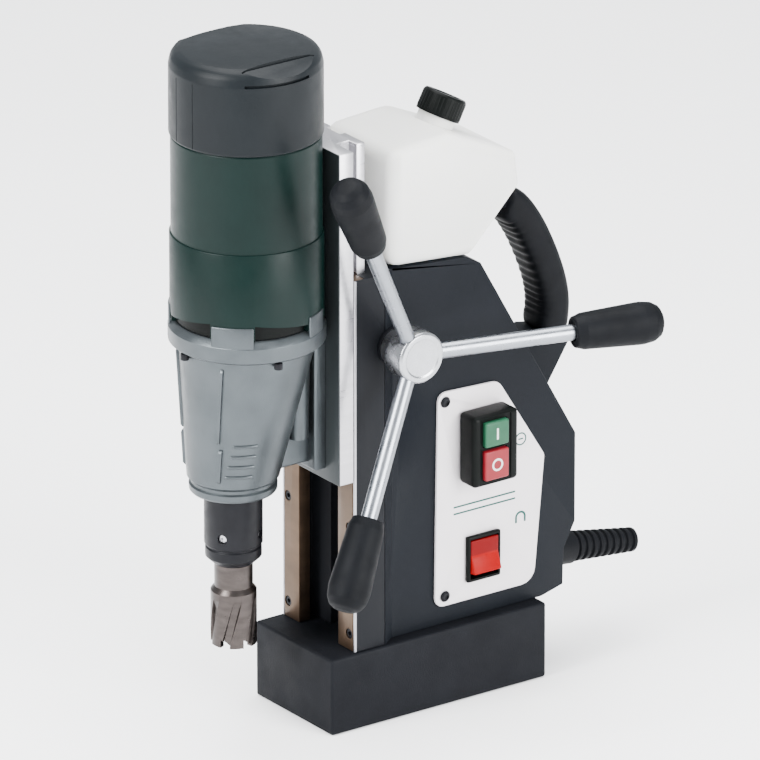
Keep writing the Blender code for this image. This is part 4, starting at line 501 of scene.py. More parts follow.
def make_materials():
    """Every finish, by a plain name. The dark ones have a weak gloss, as the stage is white."""
    made = {}

    def satin(name, colour, roughness, gloss=0.10, metallic=0.0, **sockets):
        finish = Finish(name, colour, roughness, metallic, Specular_IOR_Level=gloss, **sockets)
        made[name] = finish
        return finish

    satin("foot_paint", (0.0050, 0.0055, 0.0070), 0.52, 0.05).mottle(0.14, 45).rough(0.07, 70).bump(
        0.00014, 900, detail=6
    )
    satin("housing_paint", (0.0054, 0.0064, 0.0084), 0.48, 0.055).mottle(0.07, 30).rough(0.03, 60).bump(
        0.00012, 1100, detail=6
    )

    steel = satin("ground_steel", (0.42, 0.42, 0.44), 0.34, 0.5, 1.0)
    steel.mottle(0.06, 26, (1, 1, 8)).rough(0.06, 22, (1, 1, 20)).bump(0.000003, 20, (40, 40, 1.5))
    column = satin("column_steel", (0.36, 0.36, 0.38), 0.36, 0.06, 1.0)
    column.mottle(0.06, 26, (1, 1, 8)).rough(0.06, 22, (1, 1, 20)).bump(0.000006, 20, (40, 40, 1.5))
    column.zone("Y", *COLUMN_PAINT_FROM, (0.0068, 0.0074, 0.0090), 0.48, 0.0)
    slide = satin("slide_steel", (0.47, 0.465, 0.485), 0.32, 0.5, 1.0)
    slide.mottle(0.06, 26, (1, 1, 8)).rough(0.06, 22, (1, 1, 20)).bump(0.000006, 20, (40, 40, 1.5))
    # The front face is coloured darker than the bright sides: partly a dark finish, partly painted shade.
    slide.zone("Y", *SLIDE_FACE_TO, (0.030, 0.036, 0.038), 0.40, 0.55)

    satin("blackened_steel", (0.0055, 0.0057, 0.0072), 0.38, 0.12, 0.18).mottle(0.22, 120).rough(
        0.08, 160
    ).bump(0.00003, 900)
    satin("cutter_steel", (0.055, 0.047, 0.044), 0.34, 0.5, 1.0).mottle(0.20, 90, (1, 1, 3)).rough(
        0.08, 150
    ).bump(0.00002, 40, (1, 1, 60))
    satin("gib_brass", (0.082, 0.053, 0.034), 0.42, 0.4, 0.85).mottle(0.14, 40, (1, 1, 3)).rough(
        0.08, 60
    ).bump(0.000012, 30, (40, 40, 2))
    satin("copper_winding", (0.30, 0.09, 0.03), 0.35, 0.5, 0.9).mottle(0.15, 200).bump(
        0.0002, 60, (1, 1, 40)
    )
    satin("cast_aluminium", (0.060, 0.069, 0.074), 0.36, 0.45, 0.85).mottle(0.10, 55).rough(
        0.08, 80
    ).bump(0.00012, 1300, detail=6)
    satin("green_shell", (0.0014, 0.0070, 0.0060), 0.36, 0.10).mottle(0.10, 40).rough(0.05, 90).bump(
        0.00005, 1500
    )
    satin("dark_shell", (0.0045, 0.0060, 0.0072), 0.40, 0.10).mottle(0.10, 40).rough(0.06, 90).bump(
        0.00007, 1500
    )
    satin("switch_plastic", (0.0018, 0.0024, 0.0022), 0.42, 0.06).mottle(0.14, 90).rough(
        0.06, 120
    ).bump(0.00005, 1800)
    satin("panel_enamel", (0.62, 0.585, 0.60), 0.42, 0.3).mottle(0.02, 60).rough(0.05, 90).bump(
        0.00002, 900
    )
    satin("panel_ink", (0.006, 0.055, 0.048), 0.5, 0.2).mottle(0.10, 400).rough(0.05, 300)
    satin("symbol_ink", (0.60, 0.60, 0.58), 0.5, 0.2).mottle(0.04, 400).rough(0.05, 300)
    satin(
        "tank_plastic",
        (0.70, 0.695, 0.655),
        0.36,
        0.4,
        Subsurface_Weight=0.4,
        Subsurface_Radius=(0.012, 0.011, 0.009),
        Subsurface_Scale=1.0,
    ).mottle(0.02, 30).rough(0.05, 50).bump(0.0004, 25).bump(0.00005, 900)
    satin("grip_rubber", (0.0028, 0.0032, 0.0041), 0.55, 0.06).mottle(0.18, 80).rough(0.07, 110).bump(
        0.00010, 1700, detail=6
    )
    satin("satin_chrome", (0.40, 0.41, 0.43), 0.28, 0.5, 1.0).mottle(0.05, 120).rough(0.06, 150).bump(
        0.00001, 700
    )
    satin("zinc_rod", (0.24, 0.255, 0.28), 0.30, 0.5, 1.0).mottle(0.06, 90).rough(0.06, 150).bump(
        0.00001, 700
    )
    satin("green_button", (0.007, 0.060, 0.028), 0.42, 0.25).mottle(0.08, 150).rough(0.05, 200).bump(
        0.00003, 1800
    )
    satin("red_button", (0.17, 0.006, 0.012), 0.42, 0.25).mottle(0.08, 150).rough(0.05, 200).bump(
        0.00003, 1800
    )
    rocker = satin("red_rocker", (0.19, 0.0006, 0.0012), 0.30, 0.06)
    rocker.mottle(0.06, 150).rough(0.05, 200).bump(0.00002, 1500)
    # Painted shade: the rocker's upper half, which sits pressed in, is coloured a darker red.
    rocker.zone("Z", *ROCKER_PAINTED_SHADE_FROM, (0.110, 0.002, 0.003), 0.34, 0.0)
    satin("circuit_board", (0.010, 0.07, 0.03), 0.45, 0.3).mottle(0.30, 350).rough(0.08, 300)
    satin("pale_floor", (0.95, 0.95, 0.955), 0.75, 0.2).mottle(0.01, 4).rough(0.04, 10)
    return {name: finish.material for name, finish in made.items()}


MATERIAL = make_materials()


def dress(obj, material, body, slot, *nodes):
    """Gives a piece its finish, sets it on its body, and lets it stand for CAD nodes."""
    obj.data.materials.clear()
    obj.data.materials.append(MATERIAL[material])
    for polygon in obj.data.polygons:
        polygon.material_index = 0
    obj.data.shade_smooth()
    obj.data.set_sharp_from_angle(angle=SMOOTH_ANGLE)
    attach(obj, body)
    if nodes:
        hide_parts(*nodes)
    return obj


def paint_node(node, material):
    """A CAD node whose shape stays gets a finish."""
    obj = frame["nodes"][node]
    for material_slot in obj.material_slots:
        material_slot.material = MATERIAL[material]


# ---------------------------------------------------------------- stand


def make_foot():
    """The magnet foot with its two coil grooves underneath."""
    lowest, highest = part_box("magnet_body")
    foot = rounded_box("magnet_foot", lowest, highest, 0.0018, 4)
    for end in ("front", "rear"):
        coil = frame["nodes"]["coil_" + end]
        coil_low, coil_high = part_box("coil_" + end)
        core = min(abs(vertex.co.x) for vertex in coil.data.vertices) - GAP
        centre = (coil_low + coil_high) / 2
        margin = Vector((GAP, GAP, 0))
        outer_low = Vector((coil_low.x, coil_low.y, -0.01)) - margin
        outer_high = Vector((coil_high.x, coil_high.y, coil_high.z + GAP)) + margin
        groove = rounded_box("groove", outer_low, outer_high, 0)
        pole = rounded_box(
            "pole", (-core, centre.y - core, -0.02), (core, centre.y + core, coil_high.z + 0.01), 0
        )
        cut(groove, pole)
        cut(foot, groove)
    dress(foot, "foot_paint", "stand", "foot_paint", "magnet_body")


def make_housing():
    """The casting, with the long edges of its two flat sides rounded."""
    housing = copy_of("stand_housing", "housing_shell")
    half = max(abs(v.co.x) for v in housing.data.vertices if v.co.y > high("guide_column").y + 0.03)
    window_low, window_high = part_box("control_panel")
    shape = bmesh.new()
    shape.from_mesh(housing.data)
    layer = shape.edges.layers.float.new("bevel_weight_edge")
    for edge in shape.edges:
        ends = [vertex.co for vertex in edge.verts]
        at_side = all(abs(abs(end.x) - half) < 1e-5 for end in ends)
        hidden = all(
            window_low.y < end.y < window_high.y and window_low.z < end.z < window_high.z and end.x > 0
            for end in ends
        )
        long_enough = edge.calc_length() > 0.006
        edge[layer] = 1.0 if at_side and long_enough and not hidden else 0.0
    shape.to_mesh(housing.data)
    shape.free()
    modifier = housing.modifiers.new("rounded", "BEVEL")
    modifier.width = 0.0014
    modifier.segments = 3
    modifier.limit_method = "WEIGHT"
    apply(housing)
    dress(housing, "housing_paint", "stand", "housing_paint", "stand_housing")


def make_column():
    column = copy_of("guide_column", "column_casting")
    soften_long_edges(column, 0.0005, 0.020, 2)
    dress(column, "column_steel", "stand", "machined_steel", "guide_column")


def socket_screw(name, face, radius, length, body_length):
    """A socket head screw that faces -Y, with a hexagonal socket."""
    shank = radius * 0.6
    profile = [
        (0, 0),
        (radius, 0),
        (radius, body_length),
        (shank, body_length),
        (shank, length),
        (0, length),
    ]
    head = lathe(name, fillet(profile, 0.0004, 3), face, Y_AXIS, 32)
    key = radius * 0.55
    socket = lathe("socket", [(0, -0.001), (key, -0.001), (key, 0.0022), (0, 0.0028)], face, Y_AXIS, 6)
    return cut(head, socket)


def make_gibs():
    """Two brass strips, each with four counterbored holes and socket screws."""
    for side in ("left", "right"):
        lowest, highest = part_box("gib_" + side)
        strip = rounded_box("brass_gib_" + side, lowest, highest, 0.0004, 2)
        first = middle(f"gib_screw_{side}_1")
        second = middle(f"gib_screw_{side}_2")
        screw_low, screw_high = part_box(f"gib_screw_{side}_1")
        radius = (screw_high.x - screw_low.x) / 2
        length = screw_high.y - screw_low.y
        pitch = second.z - first.z
        for row in range(4):
            face = Vector((first.x, screw_low.y, first.z + row * pitch))
            bore = radius + GAP
            recess = [(0, -0.005), (bore, -0.005), (bore, 0.0046), (0, 0.0046)]
            shank = [(0, -0.005), (radius * 0.72, -0.005), (radius * 0.72, 0.03), (0, 0.03)]
            cut(strip, lathe("recess", recess, face, Y_AXIS, 32), lathe("shank", shank, face, Y_AXIS, 32))
            head_face = face + Y_AXIS * 0.0002
            screw = socket_screw(f"socket_screw_{side}_{row + 1}", head_face, radius, length, 0.004)
            replaced = (f"gib_screw_{side}_{row + 1}",) if row < 2 else ()
            dress(screw, "blackened_steel", "stand", "blackened_steel", *replaced)
        dress(strip, "gib_brass", "stand", "brass", "gib_" + side)


def make_bushings():
    for side, sign in (("left", -1), ("right", 1)):
        lowest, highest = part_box("feed_bushing_" + side)
        flange = (highest.z - lowest.z) / 2
        outer = max(abs(lowest.x), abs(highest.x))
        inner = min(abs(lowest.x), abs(highest.x))
        bore = 0.0062
        body = flange * 0.72
        step = outer - 0.003
        profile = [
            (bore, outer),
            (flange, outer),
            (flange, step),
            (body, step),
            (body, inner),
            (bore, inner),
        ]
        rounded = fillet(profile, 0.0007, 3, True)
        bushing = lathe("bushing_" + side, rounded, FEED_PLACE, X_AXIS * sign, 64, True)
        dress(bushing, "blackened_steel", "stand", "blackened_steel", "feed_bushing_" + side)


# ---------------------------------------------------------------- control panel


def flat_mark(name, outline, face_x, material, slot, body="stand", height=0.00012):
    """A thin printed mark on a face that looks towards +X. Its points are (Y, Z)."""
    mark = prism(name, outline, face_x - 0.00005, face_x + height, "X")
    return dress(mark, material, body, slot)


def ring_mark(name, centre, radius, width, face_x, material, slot, body, start=0.0, sweep=math.tau):
    """A thin printed ring or arc."""
    closed = abs(sweep - math.tau) < 1e-6
    outer = circle(centre, radius, 48, start, sweep)
    inner = circle(centre, radius - width, 48, start, sweep)
    if not closed:
        return flat_mark(name, outer + inner[::-1], face_x, material, slot, body)
    profile = tube(radius - width, radius, -0.00005, 0.00012)
    mark = lathe(name, profile, (face_x, *centre), X_AXIS, 48, True)
    return dress(mark, material, body, slot)


def tube(inner, outer, start, end):
    return [(inner, start), (outer, start), (outer, end), (inner, end)]


def block_mark(name, centre, size, face_x, material, slot, body="stand"):
    (y, z), (width, height) = centre, size
    outline = [
        (y - width / 2, z - height / 2),
        (y + width / 2, z - height / 2),
        (y + width / 2, z + height / 2),
        (y - width / 2, z + height / 2),
    ]
    return flat_mark(name, outline, face_x, material, slot, body)


def make_panel():
    panel = copy_of("control_panel", "panel_plate")
    soften_long_edges(panel, 0.0004, 0.0008, 2, 60)
    dress(panel, "panel_enamel", "stand", "panel", "control_panel")
    face = high("control_panel").x

    # Two thin lines part the drill's switch from the magnet's switch.
    middle_z = (low("switch_block").z + high("rocker_frame").z) / 2
    for i, offset in enumerate((0.0022, -0.0022)):
        line_centre = (0.038, middle_z + offset)
        block_mark(f"divider_{i + 1}", line_centre, (0.046, 0.0011), face, "panel_ink", "panel")

    # A round motor sign by the drill's switch, and a horseshoe by the magnet's.
    sign_y = high("switch_block").y + 0.0135
    motor_sign = (sign_y, middle("switch_block").z - 0.006)
    ring_mark("motor_sign", motor_sign, 0.0042, 0.0009, face, "panel_ink", "panel", "stand")
    block_mark("motor_sign_bar", motor_sign, (0.0036, 0.0009), face, "panel_ink", "panel")
    magnet_sign = (high("rocker_frame").y + 0.0165, high("rocker_frame").z + 0.003)
    ring_mark(
        "magnet_sign", magnet_sign, 0.0040, 0.0014, face, "panel_ink", "panel", "stand", 0.0, math.pi
    )
    for side in (-1, 1):
        leg = (magnet_sign[0] + side * 0.0033, magnet_sign[1] - 0.0017)
        block_mark(f"magnet_sign_leg_{side + 2}", leg, (0.0014, 0.0034), face, "panel_ink", "panel")

    for i in (1, 2):
        node = f"panel_screw_{i}"
        centre = middle(node)
        screw_low, screw_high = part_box(node)
        radius = (screw_high.z - screw_low.z) / 2
        rise = screw_high.x - face
        place = (face, centre.y, centre.z)
        shank = radius * 0.5
        profile = [
            (0, rise),
            (radius * 0.6, rise * 0.9),
            (radius, GAP),
            (shank, GAP),
            (shank, -0.010),
            (0, -0.010),
        ]
        screw = lathe(f"oval_screw_{i}", fillet(profile, 0.0003, 3), place, X_AXIS, 40)
        key = radius * 0.42
        profile = [(0, rise - 0.0012), (key, rise - 0.0010), (key, rise + 0.001), (0, rise + 0.001)]
        recess = lathe("recess", profile, place, X_AXIS, 6)
        cut(screw, recess)
        dress(screw, "blackened_steel", "stand", "blackened_steel", node)


def make_push_switch():
    lowest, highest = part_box("switch_block")
    panel_face = high("control_panel").x
    block = rounded_box("switch_case", (panel_face + GAP, lowest.y, lowest.z), highest, 0.0030, 4)
    start_low, start_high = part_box("start_button")
    stop_low, stop_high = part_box("stop_button")
    bezel_low = Vector((highest.x - 0.0010, start_low.y - 0.0028, stop_low.z - 0.0030))
    bezel_high = Vector((highest.x + 0.002, start_high.y + 0.0028, start_high.z + 0.0030))
    cut(block, rounded_box("bezel", bezel_low, bezel_high, 0.0008, 2))
    for button_low, button_high in ((start_low, start_high), (stop_low, stop_high)):
        pocket_low = Vector((button_low.x - 0.0033, button_low.y - GAP, button_low.z - GAP))
        pocket_high = Vector((highest.x + 0.01, button_high.y + GAP, button_high.z + GAP))
        cut(block, rounded_box("pocket", pocket_low, pocket_high, 0))
    body_low = Vector((lowest.x, lowest.y + 0.006, lowest.z + 0.006))
    body_high = Vector((panel_face + 0.002, highest.y - 0.006, highest.z - 0.006))
    fuse(block, rounded_box("switch_body", body_low, body_high, 0.0006, 2))
    dress(block, "switch_plastic", "stand", "switch_plastic", "switch_block")

    for name, node, body, material, slot in (
        ("green_start_button", "start_button", "start", "green_button", "green_button"),
        ("red_stop_button", "stop_button", "stop", "red_button", "red_button"),
    ):
        button_low, button_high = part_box(node)
        button = rounded_box(name, button_low, button_high, 0.0013, 4)
        dress(button, material, body, slot, node)
        centre = middle(node)
        face = button_high.x
        if node == "start_button":
            sign_size = (0.0013, 0.0072)
            block_mark("start_sign", (centre.y, centre.z), sign_size, face, "symbol_ink", slot, body)
        else:
            ring_mark("stop_sign", (centre.y, centre.z), 0.0040, 0.0012, face, "symbol_ink", slot, body)


def make_rocker_switch():
    lowest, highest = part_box("rocker_frame")
    panel_face = high("control_panel").x
    rim = rounded_box("rocker_bezel", (panel_face + GAP, lowest.y, lowest.z), highest, 0.0013, 3)
    margin = 0.002
    body_low = Vector((lowest.x, lowest.y + margin / 2, lowest.z + margin / 2))
    body_high = Vector((panel_face + 0.001, highest.y - margin / 2, highest.z - margin / 2))
    fuse(rim, rounded_box("rocker_body", body_low, body_high, 0))
    pocket_low = Vector((lowest.x + 0.004, lowest.y + margin, lowest.z + margin))
    pocket_high = Vector((highest.x + 0.02, highest.y - margin, highest.z - margin))
    cut(rim, rounded_box("rocker_pocket", pocket_low, pocket_high, 0))
    dress(rim, "switch_plastic", "stand", "switch_plastic", "rocker_frame")
    rocker = copy_of("magnet_rocker", "red_rocker_key")
    soften(rocker, 0.0008, 3, 20)
    dress(rocker, "red_rocker", "rocker", "red_rocker", "magnet_rocker")


# ---------------------------------------------------------------- tank, carry handle and boot


def make_tank():
    tank = copy_of("coolant_tank", "tank_shell")
    dress(tank, "tank_plastic", "stand", "tank_plastic", "coolant_tank")


def make_tank_cap():
    """The knurled screw cap."""
    corners = [vertex.co - CAP_FOOT for vertex in frame["nodes"]["tank_cap"].data.vertices]
    levels = [corner.dot(CAP_AXIS) for corner in corners]
    radius = max((corner - CAP_AXIS * level).length for corner, level in zip(corners, levels))
    foot = min(levels)
    top = max(levels)
    bore = radius - 0.002
    ceiling = top - 0.0021
    profile = [
        (0, top - 0.0006),
        (radius - 0.0052, top - 0.0006),
        (radius - 0.0046, top),
        (radius - 0.0014, top),
        (radius - 0.0004, top - 0.0014),
        (radius - 0.0004, foot + 0.0016),
        (radius - 0.0002, foot + 0.0012),
        (radius - 0.0002, foot),
        (bore, foot),
        (bore, ceiling),
        (0, ceiling),
    ]
    cap = lathe("knurled_cap", fillet(profile, 0.0005, 3), CAP_FOOT, CAP_AXIS, 96)
    turn = CAP_AXIS.to_track_quat("Z", "Y").to_matrix().to_4x4()
    place = Matrix.Translation(CAP_FOOT) @ turn
    ridges = []
    count = 36
    for i in range(count):
        angle = math.tau * i / count
        outward = Vector((math.cos(angle), math.sin(angle), 0))
        start = place @ (outward * (radius - 0.0008) + Z_AXIS * (foot + 0.0016))
        end = place @ (outward * (radius - 0.0008) + Z_AXIS * (top - 0.0018))
        ridges.append(bar("ridge", start, end, 0.0007, 8, 0.0006))
    cap = gather("knurled_cap", cap, *ridges)
    dress(cap, "switch_plastic", "cap", "switch_plastic", "tank_cap")


# The places (Y, Z) that the carry handle's bar passes through, as in the CAD.
HANDLE_ROUTE = (
    (0.002, 0.2895),
    (0.022, 0.2885),
    (0.042, 0.2965),
    (0.060, 0.3035),
    (0.076, 0.2985),
    (0.0875, 0.2850),
    (0.0975, 0.2660),
    (0.1055, 0.2450),
    (0.1085, 0.2280),
    (0.1065, 0.2110),
    (0.1020, 0.1985),
)
GRIP_FROM = 0.38
GRIP_TO = 0.905


def make_carry_handle():
    """The steel bar, and the rubber grip with finger hollows on its inner side."""
    handle_bar = copy_of("handle_bar", "carry_bar")
    soften_long_edges(handle_bar, 0.0010, 0.0005, 3, 60)
    dress(handle_bar, "blackened_steel", "stand", "blackened_steel", "handle_bar")

    samples = 40
    route = smooth_route(HANDLE_ROUTE, samples)
    last = len(route) - 1
    first = round(GRIP_FROM * last)
    final = round(GRIP_TO * last)
    half_width = (high("handle_grip").x - low("handle_grip").x) / 2
    half_thick = 0.0110
    sections = []
    around = 40
    count = final - first
    for step in range(count + 1):
        i = first + step
        along = (route[min(i + 1, last)] - route[i - 1]).normalized()
        across = Vector((-along.y, along.x))
        share = step / count
        end_reach = min(share, 1 - share) * count / 17
        ends = 1.0 if end_reach >= 1 else 0.80 + 0.20 * math.sqrt(max(0.0, end_reach * (2 - end_reach)))
        waves = 0.0
        if 0.10 < share < 0.90:
            waves = 0.0007 * (1 - math.cos((share - 0.10) / 0.80 * 14 * math.tau)) / 2
        section = []
        for k in range(around):
            angle = math.tau * k / around
            c, s = math.cos(angle), math.sin(angle)
            power = 0.62
            x = half_width * math.copysign(abs(c) ** power, c)
            t = half_thick * math.copysign(abs(s) ** power, s)
            inner = t < 0
            t = t * ends + (waves * abs(s) if inner else 0.0)
            point = route[i] + across * t
            section.append(Vector((x * ends, point.x, point.y)))
        sections.append(section)
    grip = loft("ribbed_grip", sections)
    dress(grip, "grip_rubber", "stand", "grip_rubber", "handle_grip")


def make_boot():
    """The ribbed boot of the mains lead's outlet."""
    shape = frame["nodes"]["strain_relief"].data
    tilt = math.radians(8.0)
    direction = Vector((0, math.cos(tilt), -math.sin(tilt)))
    foot = Vector((middle("strain_relief").x, low("strain_relief").y, 0.067))
    levels = [(vertex.co - foot).dot(direction) for vertex in shape.vertices]
    end = max(levels)
    start = min(levels)
    root = 0.0105
    tip = 0.0075
    bore = 0.0045
    profile = [(bore, start), (0.0135, start), (0.0135, start + 0.0022), (root + 0.0006, start + 0.0026)]
    ribs = 9
    ribs_start = start + 0.020
    pitch = (end - ribs_start) / ribs
    profile.append((root, ribs_start))
    for i in range(ribs):
        share = (ribs_start + pitch * i - start) / (end - start)
        radius = root + (tip - root) * share
        at = ribs_start + pitch * i
        profile += [
            (radius - 0.0014, at + pitch * 0.12),
            (radius - 0.0014, at + pitch * 0.42),
            (radius, at + pitch * 0.54),
            (radius - 0.0002, at + pitch),
        ]
    profile.append((bore, end))
    boot = lathe("ribbed_boot", fillet(profile, 0.0005, 2, True), foot, direction, 56, True)
    dress(boot, "grip_rubber", "stand", "grip_rubber", "strain_relief")


# ---------------------------------------------------------------- carriage


def make_slide():
    slide = copy_of("slide_plate", "ground_slide")
    soften_long_edges(slide, 0.0006, 0.002, 2)
    dress(slide, "slide_steel", "carriage", "machined_steel", "slide_plate")


# The gear case: a nose, a cone that leans from the spindle's axis to the motor's, and a flange.
CASE_LOW, CASE_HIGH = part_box("gear_case")
FLANGE_RADIUS = (CASE_HIGH.x - CASE_LOW.x) / 2
NOSE_RADIUS = 0.026
CONE_FOOT_RADIUS = NOSE_RADIUS + 0.002
CONE_TOP_RADIUS = FLANGE_RADIUS - 0.0060
CONE_FOOT_Z = CASE_LOW.z + 0.010
CONE_TOP_Z = CASE_HIGH.z - 0.016
CONE_WALL = 0.002


def cone_at(share):
    """The place along Y and the radius of the cone, from its foot (0) to its top (1)."""
    centre = SPINDLE.y + (MOTOR.y - SPINDLE.y) * share
    return centre, CONE_FOOT_RADIUS + (CONE_TOP_RADIUS - CONE_FOOT_RADIUS) * share


def make_gearcase():
    """The cast gear case, its mount on the slide and its inside."""
    bottom = CASE_LOW.z
    top = CASE_HIGH.z

    def ring_at(centre_y, radius, z):
        return [Vector((x, y, z)) for x, y in circle((0, centre_y), radius, 96)]

    sections = []
    for smaller, rise in (
        (0.0010, 0.0),
        (0.0002, 0.0003),
        (-0.0006, 0.0014),
        (-0.0008, 0.0048),
        (0.0004, 0.0058),
        (0.0002, 0.0078),
    ):
        sections.append(ring_at(SPINDLE.y, NOSE_RADIUS - smaller, bottom + rise))
    cone_steps = 8
    for i in range(cone_steps + 1):
        share = i / cone_steps
        sections.append(ring_at(*cone_at(share), CONE_FOOT_Z + (CONE_TOP_Z - CONE_FOOT_Z) * share))
    for smaller, z in (
        (0.0018, CONE_TOP_Z + 0.0016),
        (0.0002, CONE_TOP_Z + 0.0028),
        (0.0, CONE_TOP_Z + 0.0040),
        (0.0, top - 0.0042),
        (0.0008, top - 0.0030),
        (0.0034, top - 0.0004),
        (0.0040, top),
    ):
        sections.append(ring_at(MOTOR.y, FLANGE_RADIUS - smaller, z))
    case = loft("cast_gear_case", sections)
    add_gearcase_mount(case)
    cut_gearcase_inside(case)
    dress(case, "cast_aluminium", "carriage", "cast_aluminium", "gear_case")


def add_gearcase_mount(case):
    """A plate on the slide, a core behind the cone, and an upright boss on each side of it."""
    mount_low = CASE_LOW.z + 0.008
    mount_high = CASE_HIGH.z - 0.012
    back = SLIDE_FACE_Y - GAP
    half_plate = 0.0235
    half_core = 0.0165
    plate_low = (-half_plate, back - 0.0075, mount_low)
    fuse(case, rounded_box("mount_plate", plate_low, (half_plate, back + 0.004, mount_high), 0.0016, 3))
    core_low = (-half_core, MOTOR.y, mount_low + 0.004)
    fuse(case, rounded_box("mount_core", core_low, (half_core, back + 0.003, mount_high), 0.0020, 3))
    for side in (-1, 1):
        start = Vector((side * half_core, back - 0.0150, CASE_LOW.z + 0.030))
        fuse(case, bar("mount_boss", start, (start.x, start.y, mount_high), 0.0062, 40, 0.0076))
    behind_low = (-0.1, back, CASE_LOW.z - 0.01)
    behind_high = (0.1, back + 0.1, CASE_HIGH.z + 0.01)
    cut(case, rounded_box("behind", behind_low, behind_high, 0))


def cut_gearcase_inside(case):
    """The rooms for the wheels, the layshaft's journal and the seat of the gear cover, as in the CAD."""
    bottom = CASE_LOW.z
    cavity_z = bottom + 0.073
    centre, radius = cone_at((cavity_z - CONE_FOOT_Z) / (CONE_TOP_Z - CONE_FOOT_Z))
    seat_radius = CONE_TOP_RADIUS - 0.0048
    cavity_place = (0, centre, cavity_z)
    cavity_end = (0, MOTOR.y, CONE_TOP_Z)
    cut(case, bar("cavity", cavity_place, cavity_end, radius - CONE_WALL, 64, seat_radius))
    lay = middle("layshaft")
    floor_z = bottom + 0.035
    room_top = cavity_z + 0.004
    for name, (x, y), start_z, end_z, radius, segments in (
        ("cover_seat", (0, MOTOR.y), CONE_TOP_Z - 0.0001, CASE_HIGH.z + 0.01, seat_radius, 64),
        ("spindle_bore", (0, SPINDLE.y), bottom - 0.01, floor_z + 0.01, 0.0163, 64),
        ("wheel_room", (0, SPINDLE.y), floor_z, room_top, 0.0195, 64),
        ("pinion_room", (lay.x, lay.y), floor_z, room_top, 0.0083, 40),
        ("journal", (lay.x, lay.y), floor_z - 0.006, floor_z + 0.01, 0.0043, 32),
    ):
        cut(case, bar(name, (x, y, start_z), (x, y, end_z), radius, segments))


def on_cone(angle, z, proud):
    """A point that stands proud of the cone's face."""
    share = max(0.0, min(1.0, (z - CONE_FOOT_Z) / (CONE_TOP_Z - CONE_FOOT_Z)))
    centre, radius = cone_at(share)
    reach = radius + proud
    return Vector((reach * math.cos(angle), centre + reach * math.sin(angle), z))


def cone_pad(name, first, last, z_low, z_high, proud, round_off=0.0015):
    """A cast rib that follows the cone's slope, between two angles in degrees and two heights."""
    first = math.radians(first)
    last = math.radians(last)
    steps = 10
    rows = []
    for i in range(steps + 1):
        angle = first + (last - first) * i / steps
        rows.append(
            [
                on_cone(angle, z_low, -0.002),
                on_cone(angle, z_low, proud * 0.35),
                on_cone(angle, z_low + round_off, proud),
                on_cone(angle, z_high - round_off, proud),
                on_cone(angle, z_high, proud * 0.35),
                on_cone(angle, z_high, -0.002),
            ]
        )
    return soften(loft(name, rows), 0.0005, 2, 40)


def make_gearcase_ribs():
    """Two upright ribs, two rows of short fins and two slanted pads."""
    bottom = CASE_LOW.z
    rib_low = bottom + 0.040
    rib_high = CONE_TOP_Z - 0.004
    pads = [
        cone_pad("front_rib", -57, -54.5, rib_low, rib_high, 0.0016),
        cone_pad("left_rib", -123, -120.5, rib_low, rib_high, 0.0016),
    ]
    for i in range(4):
        z = bottom + 0.017 + i * 0.0068
        fin = (z, z + 0.0022, 0.0010, 0.0007)
        pads.append(cone_pad(f"fin_{i}", -46 + 2 * i, -14, *fin))
        pads.append(cone_pad(f"fin_left_{i}", -166, -134 - 2 * i, *fin))
    for angle in (-50.0, -130.0):
        pads.append(cone_pad("slant", angle - 5, angle - 1, bottom + 0.014, bottom + 0.036, 0.0020))
    ribs = gather("gear_case_ribs", *pads)
    dress(ribs, "cast_aluminium", "carriage", "cast_aluminium")


def make_flange_tabs():
    """Tabs that rise from the flange over the motor's air inlets."""
    reach = 0.0090
    radii = (FLANGE_RADIUS - 0.0030, FLANGE_RADIUS - 0.0003)
    heights = (CASE_HIGH.z - reach, CASE_HIGH.z + reach)
    tabs = []
    for centre, half in ((-46, 16), (29, 11), (-134, 16), (151, 11)):
        angles = (math.radians(centre - half), math.radians(centre + half))
        tab = sector("tab", MOTOR_PLACE, *radii, *heights, *angles)
        tabs.append(soften(tab, 0.0006, 3, 60))
    tabs = gather("flange_tabs", *tabs)
    dress(tabs, "cast_aluminium", "carriage", "cast_aluminium")


def make_flange_screws():
    """Screws that hold the flange, with their heads below it."""
    for i, angle in enumerate((-92.0, -10.0, -170.0)):
        outward = Vector((math.cos(math.radians(angle)), math.sin(math.radians(angle)), 0))
        foot_place = MOTOR_PLACE + outward * (CONE_TOP_RADIUS + 0.0028) + Z_AXIS * (CONE_TOP_Z - 0.0030)
        profile = fillet([(0, 0), (0.0026, 0), (0.0026, 0.0040), (0, 0.0040)], 0.0004, 3)
        screw = lathe(f"flange_screw_{i + 1}", profile, foot_place, Z_AXIS, 32)
        profile = [(0, -0.001), (0.0014, -0.001), (0.0014, 0.0016), (0, 0.0018)]
        socket = lathe("socket", profile, foot_place, Z_AXIS, 6)
        cut(screw, socket)
        dress(screw, "blackened_steel", "carriage", "blackened_steel")


